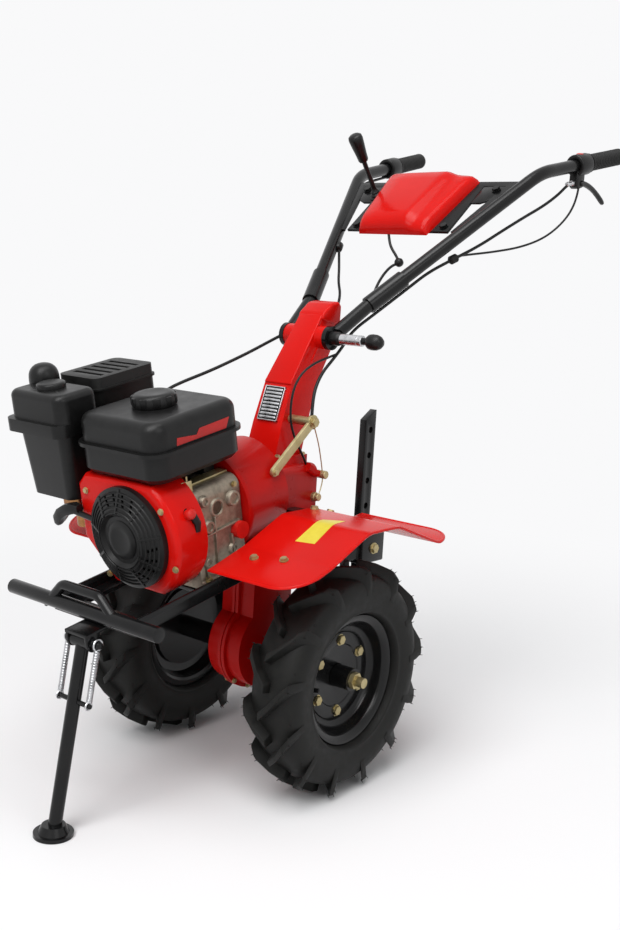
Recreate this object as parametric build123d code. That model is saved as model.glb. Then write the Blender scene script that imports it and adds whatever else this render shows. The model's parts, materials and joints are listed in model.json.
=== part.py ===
import math
import os

from build123d import *

# Power weeder, in millimetres. X runs forward, Y to the left and Z up from the floor.
# Lengths along X are measured from the wheel axle, which stands axle_x ahead of the middle of the machine.
axle_x = 155.8

# Fits shared by every pair of mating pieces
run_gap = 0.4
slip_gap = 0.5

# Wheels
tyre_radius = 207.5
lug_height = 15.0
lug_count = 13
lug_half_width = 9.0
lug_sweep = 15.0
lug_overlap = 5.0
tread_drop = 8.0
tyre_flats = 52
tyre_half_width = 48.5
tread_half_width = 41.0
bulge_radius = 160.0
rim_radius = 116.0
seat_radius = 103.0
seat_half_width = 29.0
rim_sheet = 4.0
disc_back = 6.0
disc_thickness = 5.0
half_track = 195.0
hub_radius = 20.0
hub_flange_radius = 76.0
hub_flange_thickness = 6.0
hub_gap = 6.0
hub_outer = 230.0
hex_across_flats = 26.0
axle_radius = 15.5
axle_overhang = 8.0
axle_tip_radius = 9.0
axle_tip_length = 16.0

# Final drive casing and gear case
casing_x = 12.0
casing_rise = 14.5
casing_radius = 75.0
casing_half_width = 38.0
casing_flange = 8.0
flange_thickness = 7.0
flange_seam = 2.0
axle_boss_radius = 34.0
axle_boss_half = 58.0
neck_front = 54.0
neck_back = 50.0
neck_height = 208.0
case_height = 130.0
case_front = 62.0
case_back = 72.0
case_half_width = 66.0
case_round = 16.0
seat_height = 16.0
seat_half_width_top = 46.0
seat_overhang = 8.0
bell_radius = 90.0
bell_length = 108.0
bell_rim = 6.0
bell_rim_length = 10.0

# Engine, in its own frame: x from the drive face along the crankshaft, z from the crankshaft
engine_x = 115.0
engine_rise = 299.5
engine_pitch = 11.5
base_drop = 106.0
drive_face = 28.0
block_length = 112.0
block_half_width = 80.0
block_rise = 66.0
block_round = 22.0
foot_half_width = 90.0
foot_thickness = 14.0
barrel_lean = 25.0
barrel_start = 70.0
barrel_length = 92.0
barrel_half_height = 42.0
barrel_back = 32.0
barrel_width = 96.0
fin_count = 6
fin_gap = 6.0
fin_depth = 10.0
rocker_cover_length = 18.0
rocker_cover_inset = 12.0
shroud_length = 68.0
shroud_radius = 108.0
shroud_drop = 93.0
shroud_far_side = 122.0
shroud_top_gap = 4.0
shroud_chamfer = 6.0
shroud_corner = 20.0
recoil_radius = 86.0
recoil_depth = 26.0
recoil_rim = 10.0
recoil_dish_radius = 40.0
recoil_dish_depth = 6.0
vent_groups = 3
vents_per_group = 4
vent_pitch = 17.0
vent_length = 22.0
vent_width = 5.0
vent_depth = 8.0
pull_side = 122.0
pull_rise = 17.0
pull_height = 40.0
pull_width = 24.0
pull_thickness = 18.0
pull_neck_radius = 5.0
tank_back = 12.0
tank_length = 200.0
tank_width = 188.0
tank_middle = -10.0
tank_floor = 96.0
tank_lower_height = 50.0
tank_upper_height = 50.0
tank_corner = 30.0
tank_edge = 18.0
seam_lip = 8.0
seam_half_height = 3.0
tank_leg = 24.0
tank_leg_side = 34.0
cap_radius = 38.0
cap_height = 22.0
cap_ahead = 5.0
cleaner_back = 145.0
cleaner_length = 85.0
cleaner_right = 250.0
cleaner_width = 138.0
cleaner_floor = 154.0
cleaner_height = 70.0
cleaner_step = 8.0
cleaner_step_height = 22.0
cleaner_corner = 20.0
cleaner_edge = 12.0
cup_inset = 6.0
cup_taper = 7.0
cup_height = 114.0
knob_radius = 24.0
knob_height = 10.0
dome_radius = 26.0
dome_back = 12.0
dome_rise = 30.0
muffler_ahead = 57.0
muffler_length = 135.0
muffler_right = 244.0
muffler_width = 103.0
muffler_floor = 121.0
muffler_height = 106.0
muffler_corner = 14.0
muffler_lip = 4.0
muffler_lip_drop = 18.0
louvre_count = 5
louvre_pitch = 20.0
louvre_width = 9.0
louvre_depth = 3.0
exhaust_radius = 14.0
carb_length = 56.0
carb_side = 176.0
carb_width = 44.0
carb_height = 28.0
bowl_radius = 17.0
bowl_height = 42.0
governor_side = 45.0
governor_width = 22.0
governor_sheet = 4.0
governor_arm_height = 20.0
plug_ahead = 46.0
plug_drop = 27.0
plug_radius = 15.0
plug_length = 14.0

# Cradle, bumper and front stand, in the engine's frame down to the stand's pin
rail_half_width = 98.0
rail_sheet = 6.0
rail_floor = 8.0
rail_wall = 18.0
rail_shelf = 26.0
cradle_front = 306.0
cradle_cross = 40.0
horn_height = 12.0
bumper_ahead = 325.0
bumper_drop = 82.0
bumper_radius = 12.0
bumper_half_length = 175.0
hoop_radius = 8.5
hoop_foot = 76.0
hoop_top = 44.0
hoop_height = 31.0
hoop_back = 3.0
hoop_bend = 20.0
stand_ahead = 331.0
stand_drop = 133.0
stand_cheek_y = 20.0
stand_cheek_sheet = 6.0
stand_cheek_half = 14.0
stand_pin_radius = 6.0
stand_pin_half = 41.0
stand_eye_radius = 12.5
stand_leg_radius = 11.0
foot_reach = 50.0
foot_radius = 32.0
foot_plate = 6.0
foot_boss_radius = 19.0
foot_boss_height = 12.0
spring_y = 35.0
spring_drop = 96.0
spring_radius = 5.5
spring_eye_radius = 10.0
spring_eye_width = 4.0
spring_lug_radius = 4.0

# Fenders: drops are below the crown
fender_crown_rise = 282.5
fender_sheet = 3.5
fender_inner = 100.0
fender_waist = 70.0
fender_outer = 290.0
fender_front = 243.0
fender_front_drop = 72.0
fender_step = 158.0
fender_step_drop = 44.0
crown_front = 62.0
crown_back = 24.0
fender_dip = 152.0
fender_dip_drop = 46.0
fender_back = 213.0
fender_back_drop = 38.0
fender_bend = 40.0
fender_corner = 62.0
stay_back = 14.0
stay_length = 34.0
stay_sheet = 5.0
stay_height = 38.0
stay_reach = 60.0

# Handle column: rises are above its seat, backs are behind the axle
column_foot_front = 14.0
column_foot_back = 58.0
column_foot_half = 36.0
panel_low = 54.0
panel_high = 126.0
panel_back = 25.0
panel_half = 32.0
column_nape = 94.0
column_nape_rise = 121.0
brow_back = 111.0
brow_rise = 252.0
crest_back = 132.0
crest_rise = 270.0
tail_back = 160.0
tail_rise = 224.0
column_head_half = 26.0
grille_width = 44.0
grille_height = 62.0
grille_sheet = 4.0
slat_count = 6
slat_gap = 5.0
slat_pitch = 9.6
hub_back = 106.0
hub_rise = 212.0
hub_boss_radius = 21.0
hub_boss_half = 46.0

# Handlebar: reaches and rises are from the hub, then from the bend
lock_bolt_radius = 6.0
eye_thickness = 9.0
eye_radius = 22.0
kink_reach = 84.0
kink_half = 70.0
kink_rise = 62.3
handle_reach = 420.5
handle_half = 222.8
handle_rise = 337.4
grip_reach = 270.7
grip_spread = 31.6
grip_rise = 61.6
bend_radius = 120.0
socket_radius = 16.5
socket_length = 88.0
tube_radius = 13.0
grip_radius = 17.5
grip_length = 118.0
grip_cap = 5.0
collar_radius = 22.0
collar_length = 40.0
collar_gap = 4.0
lever_drop = 40.0
lever_length = 140.0
lever_tip_drop = 68.0
lever_thickness = 10.0
lever_depth = 13.0
perch_length = 32.0
console_low = 316.0
console_high = 500.0
console_low_half = 82.0
console_high_half = 106.0
console_sheet = 5.0
console_height = 30.0
console_draft = 7.0
console_step = 12.0
console_step_width = 46.0
console_plate_low = 330.0
console_plate_high = 502.0
cutout_margin = 16.0
shift_along = 448.0
shift_side = 119.0
shift_rod_radius = 5.0
shift_rod_length = 88.0
shift_knob_length = 60.0
shift_knob_radius = 15.0
shift_knob_neck = 10.0
lock_neck_radius = 13.0
lock_neck_length = 22.0
lock_sleeve_radius = 10.0
lock_sleeve_length = 48.0
lock_nut_length = 10.0
lock_nut_radius = 11.0
lock_knob_radius = 14.5
lock_knob_length = 44.0

# Clutch rocker on the left of the column
rocker_y = 82.0
rocker_sheet = 6.0
rocker_pivot_back = 25.0
rocker_pivot_rise = 66.0
rocker_pivot_radius = 8.0
rocker_eye_radius = 13.0
rocker_reach = 97.0
rocker_drop = 81.0
rocker_half_depth = 8.0

# Rear hitch and depth bar: drops are below the gear case floor
hitch_back = 310.0
hitch_half_width = 34.0
hitch_half_length = 37.0
hitch_drop = 40.0
hitch_height = 60.0
drawbar_half_width = 24.0
drawbar_height = 40.0
hitch_pin_back = 200.0
hitch_pin_radius = 9.0
hitch_pin_height = 26.0
hitch_pin_head = 16.0
hitch_pin_cap = 4.0
bar_width = 32.0
bar_thickness = 16.0
bar_length = 490.0
bar_clearance = 150.0
bar_chisel = 20.0
bar_hole_radius = 6.5
bar_hole_pitch = 52.0
bar_hole_count = 4
bar_hole_margin = 40.0

# Control cables: the points of each route, from the axle and the floor
cable_radius = 3.0
wire_radius = 2.2
bend_share = 0.45
tie_radius = 8.5
tie_ends = [(-367, 144.5, 950.7), (-351, 138.2, 942.4)]
clutch_upper = [
    (-639.4, 236, 1117),
    (-623, 234.6, 1113.5),
    (-598, 227.5, 1090),
    (-560, 216, 1064),
    (-514, 200, 1038),
    (-464, 182, 1007.5),
    (-412, 162, 974),
    (-358, 141, 946),
    (-306, 120.5, 918),
    (-265.5, 104.5, 886),
    (-201.5, 75.2, 833.5),
    (-158, 63.5, 804.5),
    (-133, 64.8, 781.5),
]
clutch_lower = [
    (-121.8, 65.6, 770.9),
    (-95, 68, 750.5),
    (-60, 73.5, 729),
    (-37, 78, 704),
    (-26, 82, 676),
    (-22.5, 85, 652),
]
stop_upper = [
    (-652, 243.6, 1111),
    (-652, 242, 1086),
    (-638, 231, 1046),
    (-599, 210, 1006),
    (-535, 190, 981),
    (-457, 168, 966),
    (-392, 148, 956.5),
    (-361, 141.5, 951.5),
]
stop_lower = [
    (-108, 66.8, 760.4),
    (-84, 64, 753.5),
    (-55, 60, 745),
    (-27, 54, 728),
    (-11, 50, 702),
    (-6, 48.5, 671),
    (-6, 50, 640),
    (-15, 53, 612),
    (-30, 56, 588),
    (-45, 57.5, 566),
    (-50, 57.5, 553),
]
throttle_upper = [
    (-644, -236.5, 1134.2),
    (-592, -231, 1122),
    (-535, -226, 1105),
    (-485, -205, 1070),
    (-423, -175.7, 1016),
    (-360.7, -147.5, 968.5),
    (-312, -125.3, 925),
    (-265.5, -104.5, 886),
    (-201.5, -75.2, 833.5),
    (-160, -66.5, 807),
    (-136, -70.3, 794.8),
]
throttle_lower = [
    (-118, -73.5, 786),
    (-86, -77.5, 773),
    (-48, -82, 757),
    (-12, -88, 742),
    (50, -101, 717),
    (108, -117, 696),
    (140, -122.5, 682),
    (163, -124, 660),
    (178.5, -124.5, 628),
    (191, -124, 595),
]

# Levels and places worked out from the sizes above
axle_z = tyre_radius
hub_inner = axle_boss_half + hub_gap
axle_half_length = hub_outer + axle_overhang
casing_z = axle_z + casing_rise
case_floor = casing_z + neck_height
case_top = case_floor + case_height
seat_top = case_top + seat_height
engine_z = axle_z + engine_rise
engine_place = Pos(engine_x, 0, engine_z) * Rot(0, engine_pitch, 0)
barrel_front = barrel_back + barrel_width
block_end = drive_face + block_length
shroud_front = block_end + shroud_length
tank_seam = tank_floor + tank_lower_height
tank_top = tank_seam + tank_upper_height
cup_floor = cleaner_floor - cup_height
fender_crown = axle_z + fender_crown_rise
hitch_top = case_floor - hitch_drop
hub_x = -hub_back
hub_z = seat_top + hub_rise
eye_y = hub_boss_half + slip_gap + eye_thickness / 2
eye_outer = hub_boss_half + slip_gap + eye_thickness
pitch_angle = math.radians(engine_pitch)
stand_x = engine_x + stand_ahead * math.cos(pitch_angle) - stand_drop * math.sin(pitch_angle)
stand_z = engine_z - stand_ahead * math.sin(pitch_angle) - stand_drop * math.cos(pitch_angle)
foot_x = stand_x + foot_reach

hub_point = Vector(hub_x, 0, hub_z)
kink_point = Vector(hub_x - kink_reach, kink_half, hub_z + kink_rise)
bend_point = Vector(hub_x - handle_reach, handle_half, hub_z + handle_rise)
grip_point = bend_point + Vector(-grip_reach, grip_spread, grip_rise)
grip_aim = (grip_point - bend_point).normalized()
handle_run = math.hypot(handle_reach, handle_rise)
along = Vector(-handle_reach / handle_run, 0, handle_rise / handle_run)
handle_plane = Plane(origin=hub_point, x_dir=along, z_dir=(along.Z, 0, -along.X))


def block(x_low, x_high, y_low, y_high, z_low, z_high):
    middle = Pos((x_low + x_high) / 2, (y_low + y_high) / 2, (z_low + z_high) / 2)
    return middle * Box(x_high - x_low, y_high - y_low, z_high - z_low)


def rod(start, end, radius):
    span = Vector(*end) - Vector(*start)
    return Plane(origin=start, z_dir=span) * Pos(0, 0, span.length / 2) * Cylinder(radius, span.length)


def side_prism(outline, y_low, y_high):
    return extrude(Plane.XZ.offset(-y_high) * make_face(outline), amount=y_high - y_low)


def cross_prism(outline, x_low, x_high):
    return extrude(Plane.YZ.offset(x_low) * make_face(outline), amount=x_high - x_low)


def bent_rod(points, bend, radius):
    path = FilletPolyline(*points, radius=bend)
    return sweep(Plane(origin=path @ 0, z_dir=path % 0) * Circle(radius), path=path)


def cable(route, radius):
    points = [Vector(*point) for point in route]
    bends = []
    for before, corner, after in zip(points, points[1:], points[2:]):
        turn = math.radians((corner - before).get_angle(after - corner))
        shorter_run = min((corner - before).length, (after - corner).length)
        bends.append(bend_share * shorter_run / math.tan(turn / 2))
    print("bend radii", [round(bend) for bend in bends])
    path = FilletPolyline(*route, radius=bends)
    return sweep(Plane(origin=path @ 0, z_dir=path % 0) * Circle(radius), path=path)


def turned(profile):
    return revolve(Plane.YZ * make_face(Polyline(*profile, close=True)), axis=Axis.Y)


def mirrored(shape):
    return mirror(shape, about=Plane.XZ)


def on_circle(radius, angle, y):
    return (radius * math.cos(angle), y, radius * math.sin(angle))


def tyre_carcass():
    crown = tyre_radius - lug_height
    half = [
        (0, crown),
        (tread_half_width, crown - tread_drop),
        (tyre_half_width, bulge_radius),
        (tyre_half_width - 5, rim_radius + 10),
        (seat_half_width, rim_radius + 1),
        (seat_half_width, seat_radius / math.cos(math.pi / tyre_flats)),
    ]
    profile = half + [(-w, r) for w, r in reversed(half[1:])]
    step = 2 * math.pi / tyre_flats
    faces = []
    for flat in range(tyre_flats):
        for (w_0, r_0), (w_1, r_1) in zip(profile, profile[1:] + profile[:1]):
            corners = [
                on_circle(r_0, flat * step, w_0),
                on_circle(r_1, flat * step, w_1),
                on_circle(r_1, (flat + 1) * step, w_1),
                on_circle(r_0, (flat + 1) * step, w_0),
            ]
            faces.append(Face(Wire.make_polygon(corners)))
    return Solid(Shell(faces))


def tyre_lug():
    shoulder = tyre_radius - lug_height - tread_drop
    # across the tread, top radius, root radius, share of the sweep, half width
    sections = (
        (-lug_overlap, tyre_radius, shoulder - 4, 0.0, lug_half_width),
        (tread_half_width, tyre_radius - tread_drop, shoulder - 8, 1.0, lug_half_width),
        (tyre_half_width + 1, bulge_radius + 12, bulge_radius - 4, 1.2, lug_half_width - 2),
    )
    faces = []
    for y, top, root, share, half in sections:
        angle = math.radians(lug_sweep * share)
        corners = [
            on_circle(root, angle - half / root, y),
            on_circle(root, angle + half / root, y),
            on_circle(top, angle + (half - 2) / top, y),
            on_circle(top, angle - (half - 2) / top, y),
        ]
        faces.append(Face(Wire.make_polygon(corners)))
    return loft(faces, ruled=True)


def tyre():
    pitch = 360 / lug_count
    left = tyre_lug()
    right = Rot(0, pitch / 2, 0) * mirrored(left)
    lugs = [Rot(0, pitch * index, 0) * lug for index in range(lug_count) for lug in (left, right)]
    return Rot(0, 90, 0) * tyre_carcass().fuse(*[lug.solid() for lug in lugs])


def rim():
    lip = seat_half_width + rim_sheet
    inner = seat_radius - rim_sheet
    face = -disc_back + disc_thickness
    profile = [
        (lip, rim_radius),
        (lip - rim_sheet, rim_radius),
        (seat_half_width, seat_radius),
        (-seat_half_width, seat_radius),
        (rim_sheet - lip, rim_radius),
        (-lip, rim_radius),
        (-lip, inner),
        (-disc_back, inner - 10),
        (-disc_back, hub_radius),
        (face, hub_radius),
        (face, inner - 10),
        (lip, inner),
    ]
    return turned(profile)


def wheel_hub():
    back = half_track - disc_back
    barrel = rod((0, hub_inner, 0), (0, hub_outer, 0), hub_radius)
    flange = rod((0, back - hub_flange_thickness, 0), (0, back, 0), hub_flange_radius)
    hexagon = RegularPolygon(hex_across_flats / 2 + run_gap, 6, major_radius=False)
    bore = extrude(Plane.XZ.offset(-hub_outer - 1) * hexagon, amount=hub_outer - hub_inner + 2)
    return barrel + flange - bore


def axle_shaft():
    hexagon = RegularPolygon(hex_across_flats / 2, 6, major_radius=False)
    stub_length = axle_half_length - axle_boss_half + hub_gap / 2
    stub = extrude(Plane.XZ.offset(-axle_half_length) * hexagon, amount=stub_length)
    tip = rod((0, axle_half_length, 0), (0, axle_half_length + axle_tip_length, 0), axle_tip_radius)
    core = rod((0, -axle_boss_half, 0), (0, axle_boss_half, 0), axle_radius)
    end = stub + tip
    return core + end + mirrored(end)


def neck_block(margin, y_low, y_high):
    return block(-neck_back - margin, neck_front + margin, y_low, y_high, casing_z, case_floor)


def lower_casing():
    body = rod((casing_x, -casing_half_width, casing_z), (casing_x, casing_half_width, casing_z), casing_radius)
    body += neck_block(0, -casing_half_width, casing_half_width)
    for low in (flange_seam / 2, -flange_seam / 2 - flange_thickness):
        high = low + flange_thickness
        body += rod((casing_x, low, casing_z), (casing_x, high, casing_z), casing_radius + casing_flange)
        body += neck_block(casing_flange, low, high)
    body += rod((0, -axle_boss_half, axle_z), (0, axle_boss_half, axle_z), axle_boss_radius)
    body -= rod((0, -axle_boss_half - 1, axle_z), (0, axle_boss_half + 1, axle_z), axle_radius + run_gap)
    return body - upper_case()


def upper_case():
    case = block(-case_back, case_front, -case_half_width, case_half_width, case_floor, case_top)
    case = fillet(case.edges().filter_by(Axis.X), case_round)
    bell = rod((drive_face - bell_length, 0, 0), (drive_face, 0, 0), bell_radius)
    bell += rod((drive_face - bell_rim_length, 0, 0), (drive_face, 0, 0), bell_radius + bell_rim)
    seat = block(
        seat_overhang - case_back,
        column_foot_front + seat_overhang,
        -seat_half_width_top,
        seat_half_width_top,
        case_top - case_round / 4,
        seat_top,
    )
    return case + engine_place * bell + seat


def engine_cradle():
    floor = -base_drop - rail_floor
    back = drive_face - bell_length
    tray = block(back, cradle_front, -rail_half_width, rail_half_width, floor, rail_wall - base_drop)
    inside = rail_half_width - rail_sheet
    tray -= block(back - 1, cradle_front + 1, -inside, inside, -base_drop, rail_wall - base_drop + 1)
    opening = inside - rail_shelf
    tray -= block(block_end, cradle_front - cradle_cross, -opening, opening, floor - 1, 1 - base_drop)
    horn_top = rail_wall - base_drop
    for side in (1, -1):
        edges = sorted((side * inside, side * rail_half_width))
        tray += block(cradle_front - 1, bumper_ahead, *edges, horn_top - horn_height, horn_top)
    reach = rail_half_width + 1
    behind = block(-case_back - bell_length, neck_front, -reach, reach, casing_z, case_top)
    ribs = neck_block(casing_flange, -flange_seam / 2 - flange_thickness, flange_seam / 2 + flange_thickness)
    return engine_place * (tray - front_bumper()) - behind - ribs


def front_bumper():
    bar_z = -bumper_drop
    bar = rod((bumper_ahead, -bumper_half_length, bar_z), (bumper_ahead, bumper_half_length, bar_z), bumper_radius)
    top_x = bumper_ahead - hoop_back
    top_z = bar_z + hoop_height
    points = [
        (bumper_ahead, hoop_foot, bar_z),
        (top_x, hoop_top, top_z),
        (top_x, -hoop_top, top_z),
        (bumper_ahead, -hoop_foot, bar_z),
    ]
    return bar + bent_rod(points, hoop_bend, hoop_radius)


def stand_bracket():
    floor = -base_drop - rail_floor
    inner = stand_cheek_y
    outer = stand_cheek_y + stand_cheek_sheet
    back = cradle_front - cradle_cross
    front = stand_ahead + stand_cheek_half
    top = block(back, front, -outer, outer, floor - stand_cheek_sheet, floor)
    cheek = block(stand_ahead - stand_cheek_half, front, inner, outer, -stand_drop, floor)
    cheek += rod((stand_ahead, inner, -stand_drop), (stand_ahead, outer, -stand_drop), stand_cheek_half)
    right_end = (stand_ahead, -stand_pin_half, -stand_drop)
    left_end = (stand_ahead, stand_pin_half, -stand_drop)
    pin = rod(right_end, left_end, stand_pin_radius)
    return top + cheek + mirrored(cheek) + pin


def spring_point(share, y):
    return (stand_x + share * foot_reach * spring_drop / stand_z, y, stand_z - share * spring_drop)


def stand_leg():
    half = stand_cheek_y - slip_gap - 1
    eye = rod((stand_x, -half, stand_z), (stand_x, half, stand_z), stand_eye_radius)
    leg = rod((stand_x, 0, stand_z), (foot_x, 0, 0), stand_leg_radius)
    lug_end = spring_y + spring_eye_width
    lug = rod(spring_point(1, -lug_end), spring_point(1, lug_end), spring_lug_radius)
    below = Pos(foot_x, 0, foot_plate - foot_radius) * Cylinder(foot_radius, 2 * foot_radius)
    bore = rod((stand_x, -half - 1, stand_z), (stand_x, half + 1, stand_z), stand_pin_radius + run_gap)
    return eye + leg + lug - below - bore


def stand_springs():
    coils = []
    for y in (-spring_y, spring_y):
        low = y - spring_eye_width / 2
        high = y + spring_eye_width / 2
        coil = rod(spring_point(0.1, y), spring_point(0.9, y), spring_radius)
        for share, pin_radius in ((0, stand_pin_radius + run_gap), (1, spring_lug_radius)):
            coil += rod(spring_point(share, low), spring_point(share, high), spring_eye_radius)
            coil -= rod(spring_point(share, low - 9), spring_point(share, high + 9), pin_radius)
        coils.append(coil)
    return Compound(children=coils)


def stand_foot():
    plate = Pos(foot_x, 0, foot_plate / 2) * Cylinder(foot_radius, foot_plate)
    boss_z = foot_plate + foot_boss_height / 2
    boss_foot = foot_boss_radius + foot_boss_height / 2
    boss = Cone(boss_foot, foot_boss_radius, foot_boss_height)
    return plate + Pos(foot_x, 0, boss_z) * boss - stand_leg()


def fender():
    crest = [
        (fender_front, fender_crown - fender_front_drop),
        (fender_step, fender_crown - fender_step_drop),
        (crown_front, fender_crown),
        (-crown_back, fender_crown),
        (-fender_dip, fender_crown - fender_dip_drop),
        (-fender_back, fender_crown - fender_back_drop),
    ]
    upper = FilletPolyline(*crest, radius=fender_bend)
    lower = FilletPolyline(*[(x, z - fender_sheet) for x, z in crest], radius=fender_bend)
    ends = Line(upper @ 0, lower @ 0) + Line(upper @ 1, lower @ 1)
    sheet = side_prism(upper + lower + ends, fender_waist, fender_outer)
    plan = make_face(Polyline(
        (fender_front, fender_inner),
        (fender_front, fender_outer),
        (-fender_back, fender_outer),
        (-fender_back, fender_waist),
        (-case_back - slip_gap, fender_waist),
        (-case_back - slip_gap, fender_inner),
        close=True,
    ))
    plan = fillet(plan.vertices().group_by(Axis.Y)[-1], fender_corner)
    return sheet & Pos(0, 0, axle_z) * extrude(plan, amount=2 * fender_crown_rise)


def fender_stay():
    roof = fender_crown - fender_sheet
    ahead = stay_length - stay_back
    upright = block(-stay_back, ahead, case_half_width, case_half_width + stay_sheet, roof - stay_height, roof)
    shelf = block(-stay_back, ahead, case_half_width, fender_inner + stay_reach, roof - stay_sheet, roof)
    return upright + shelf


def crankcase():
    body = block(drive_face, block_end, -block_half_width, block_half_width, -base_drop, block_rise)
    body = fillet(body.edges().filter_by(Axis.X).group_by(Axis.Z)[-1], block_round)
    feet = block(drive_face, block_end, -foot_half_width, foot_half_width, -base_drop, foot_thickness - base_drop)
    return body + feet


def cylinder_head():
    lean = math.radians(barrel_lean)
    plane = Plane(origin=(0, 0, 0), x_dir=(1, 0, 0), z_dir=(0, -math.cos(lean), math.sin(lean)))
    middle = barrel_back + barrel_width / 2
    place = Pos(middle, 0, barrel_start + barrel_length / 2)
    barrel = place * Box(barrel_width, 2 * barrel_half_height, barrel_length)
    pitch = barrel_length / fin_count
    core_width = barrel_width - 2 * fin_depth
    core_height = 2 * (barrel_half_height - fin_depth)
    core = place * Box(core_width, core_height, barrel_length)
    for fin in range(2, fin_count):
        slot = Box(2 * barrel_width, 4 * barrel_half_height, fin_gap)
        barrel -= Pos(middle, 0, barrel_start + fin * pitch) * slot - core
    cover_width = barrel_width - 2 * rocker_cover_inset
    cover = Box(cover_width, 2 * (barrel_half_height - rocker_cover_inset), rocker_cover_length)
    barrel += Pos(middle, 0, barrel_start + barrel_length + rocker_cover_length / 2) * cover
    return plane * barrel - crankcase()


def fan_shroud():
    low = -shroud_drop
    high = tank_floor - shroud_top_gap
    low_y = math.sqrt(shroud_radius**2 - low**2)
    high_y = math.sqrt(shroud_radius**2 - high**2)
    near = ThreePointArc((low_y, low), (shroud_radius, 0), (high_y, high))
    far = Polyline(
        (high_y, high),
        (shroud_corner - shroud_far_side, high),
        (-shroud_far_side, high - shroud_corner),
        (-shroud_far_side, low / 4),
        (-low_y, low),
        (low_y, low),
    )
    body = cross_prism(near + far, block_end, shroud_front)
    return chamfer(body.faces().sort_by(Axis.X)[-1].edges(), shroud_chamfer)


def recoil_cover():
    slope_radius = recoil_dish_radius + recoil_dish_depth
    profile = [
        (0, 0),
        (0, recoil_radius),
        (recoil_rim, recoil_radius),
        (recoil_depth, slope_radius),
        (recoil_depth - recoil_dish_depth, recoil_dish_radius),
        (recoil_depth - recoil_dish_depth, 0),
    ]
    dish = revolve(make_face(Polyline(*profile, close=True)), axis=Axis.X)
    middle = (recoil_radius + slope_radius) / 2
    level = (recoil_rim + recoil_depth) / 2
    for group in range(vent_groups):
        for vent in range(vents_per_group):
            angle = 360 / vent_groups * group + vent_pitch * (vent - (vents_per_group - 1) / 2)
            slot = Pos(level, 0, middle) * Rot(25, 0, 0) * Box(2 * vent_depth, vent_width, vent_length)
            dish -= Rot(angle, 0, 0) * slot
    return Pos(shroud_front, 0, 0) * dish


def pull_handle():
    x = shroud_front + pull_thickness / 2 + slip_gap
    neck = rod((x, -pull_side, pull_rise), (x, 0, pull_rise), pull_neck_radius)
    grip = fillet(Box(pull_thickness, pull_width, pull_height).edges().filter_by(Axis.Z), pull_thickness / 3)
    return Pos(x, -pull_side, pull_rise) * grip + neck - recoil_cover()


def tank_half(low, high, inset):
    front = tank_back + tank_length
    right = tank_middle - tank_width / 2
    left = tank_middle + tank_width / 2
    return block(tank_back + inset, front - inset, right + inset, left - inset, low, high)


def fuel_tank():
    lower = fillet(tank_half(tank_floor, tank_seam, 0).edges().filter_by(Axis.Z), tank_corner)
    lower = chamfer(lower.faces().sort_by(Axis.Z)[0].edges(), tank_edge / 2)
    upper = fillet(tank_half(tank_seam, tank_top, 0).edges().filter_by(Axis.Z), tank_corner)
    upper = fillet(upper.faces().sort_by(Axis.Z)[-1].edges(), tank_edge)
    lip = tank_half(tank_seam - seam_half_height, tank_seam + seam_half_height, -seam_lip)
    lip = fillet(lip.edges().filter_by(Axis.Z), tank_corner + seam_lip)
    tank = lower + upper + lip
    for x in (drive_face + tank_leg / 2, block_end - 1.5 * tank_leg):
        for y in (-tank_leg_side, tank_leg_side - tank_leg):
            tank += block(x, x + tank_leg, y, y + tank_leg, block_rise, tank_seam)
    return tank


def tank_cap():
    place = Pos(tank_back + tank_length / 2 + cap_ahead, tank_middle, tank_top + cap_height / 2)
    return place * chamfer(Cylinder(cap_radius, cap_height).edges().sort_by(Axis.Z)[-1], 4)


def air_cleaner():
    left = cleaner_width - cleaner_right
    front = cleaner_back + cleaner_length
    step_top = cleaner_floor + cleaner_step_height
    box = block(cleaner_back, front, -cleaner_right, left, step_top, cleaner_floor + cleaner_height)
    box = fillet(box.edges().filter_by(Axis.Z), cleaner_corner)
    box = fillet(box.faces().sort_by(Axis.Z)[-1].edges(), cleaner_edge)
    step = block(cleaner_back, front + cleaner_step, -cleaner_right - cleaner_step, left, cleaner_floor, step_top)
    step = fillet(step.edges().filter_by(Axis.Z), cleaner_corner)
    x = cleaner_back + cleaner_length / 2
    y = left - cleaner_width / 2
    mouth_length = cleaner_length - 2 * cup_inset
    mouth_width = cleaner_width - 2 * cup_inset
    mouth = RectangleRounded(mouth_length, mouth_width, cleaner_corner)
    bottom = RectangleRounded(mouth_length - 2 * cup_taper, mouth_width - 2 * cup_taper, cleaner_corner)
    cup = loft([Pos(x, y, cup_floor) * bottom, Pos(x, y, cleaner_floor) * mouth], ruled=True)
    roof = cleaner_floor + cleaner_height
    knob = Pos(x, y, roof + knob_height / 2) * Cone(knob_radius, knob_radius / 2, knob_height)
    dome_x = cleaner_back + dome_back
    dome_y = dome_back - cleaner_right
    dome_top = roof + dome_rise
    dome = rod((dome_x, dome_y, roof - dome_radius), (dome_x, dome_y, dome_top - dome_radius), dome_radius)
    dome_cap = Cone(dome_radius, dome_radius / 2, dome_radius / 2)
    dome += Pos(dome_x, dome_y, dome_top - dome_radius * 3 / 4) * dome_cap
    return box + step + cup + knob + dome


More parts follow.
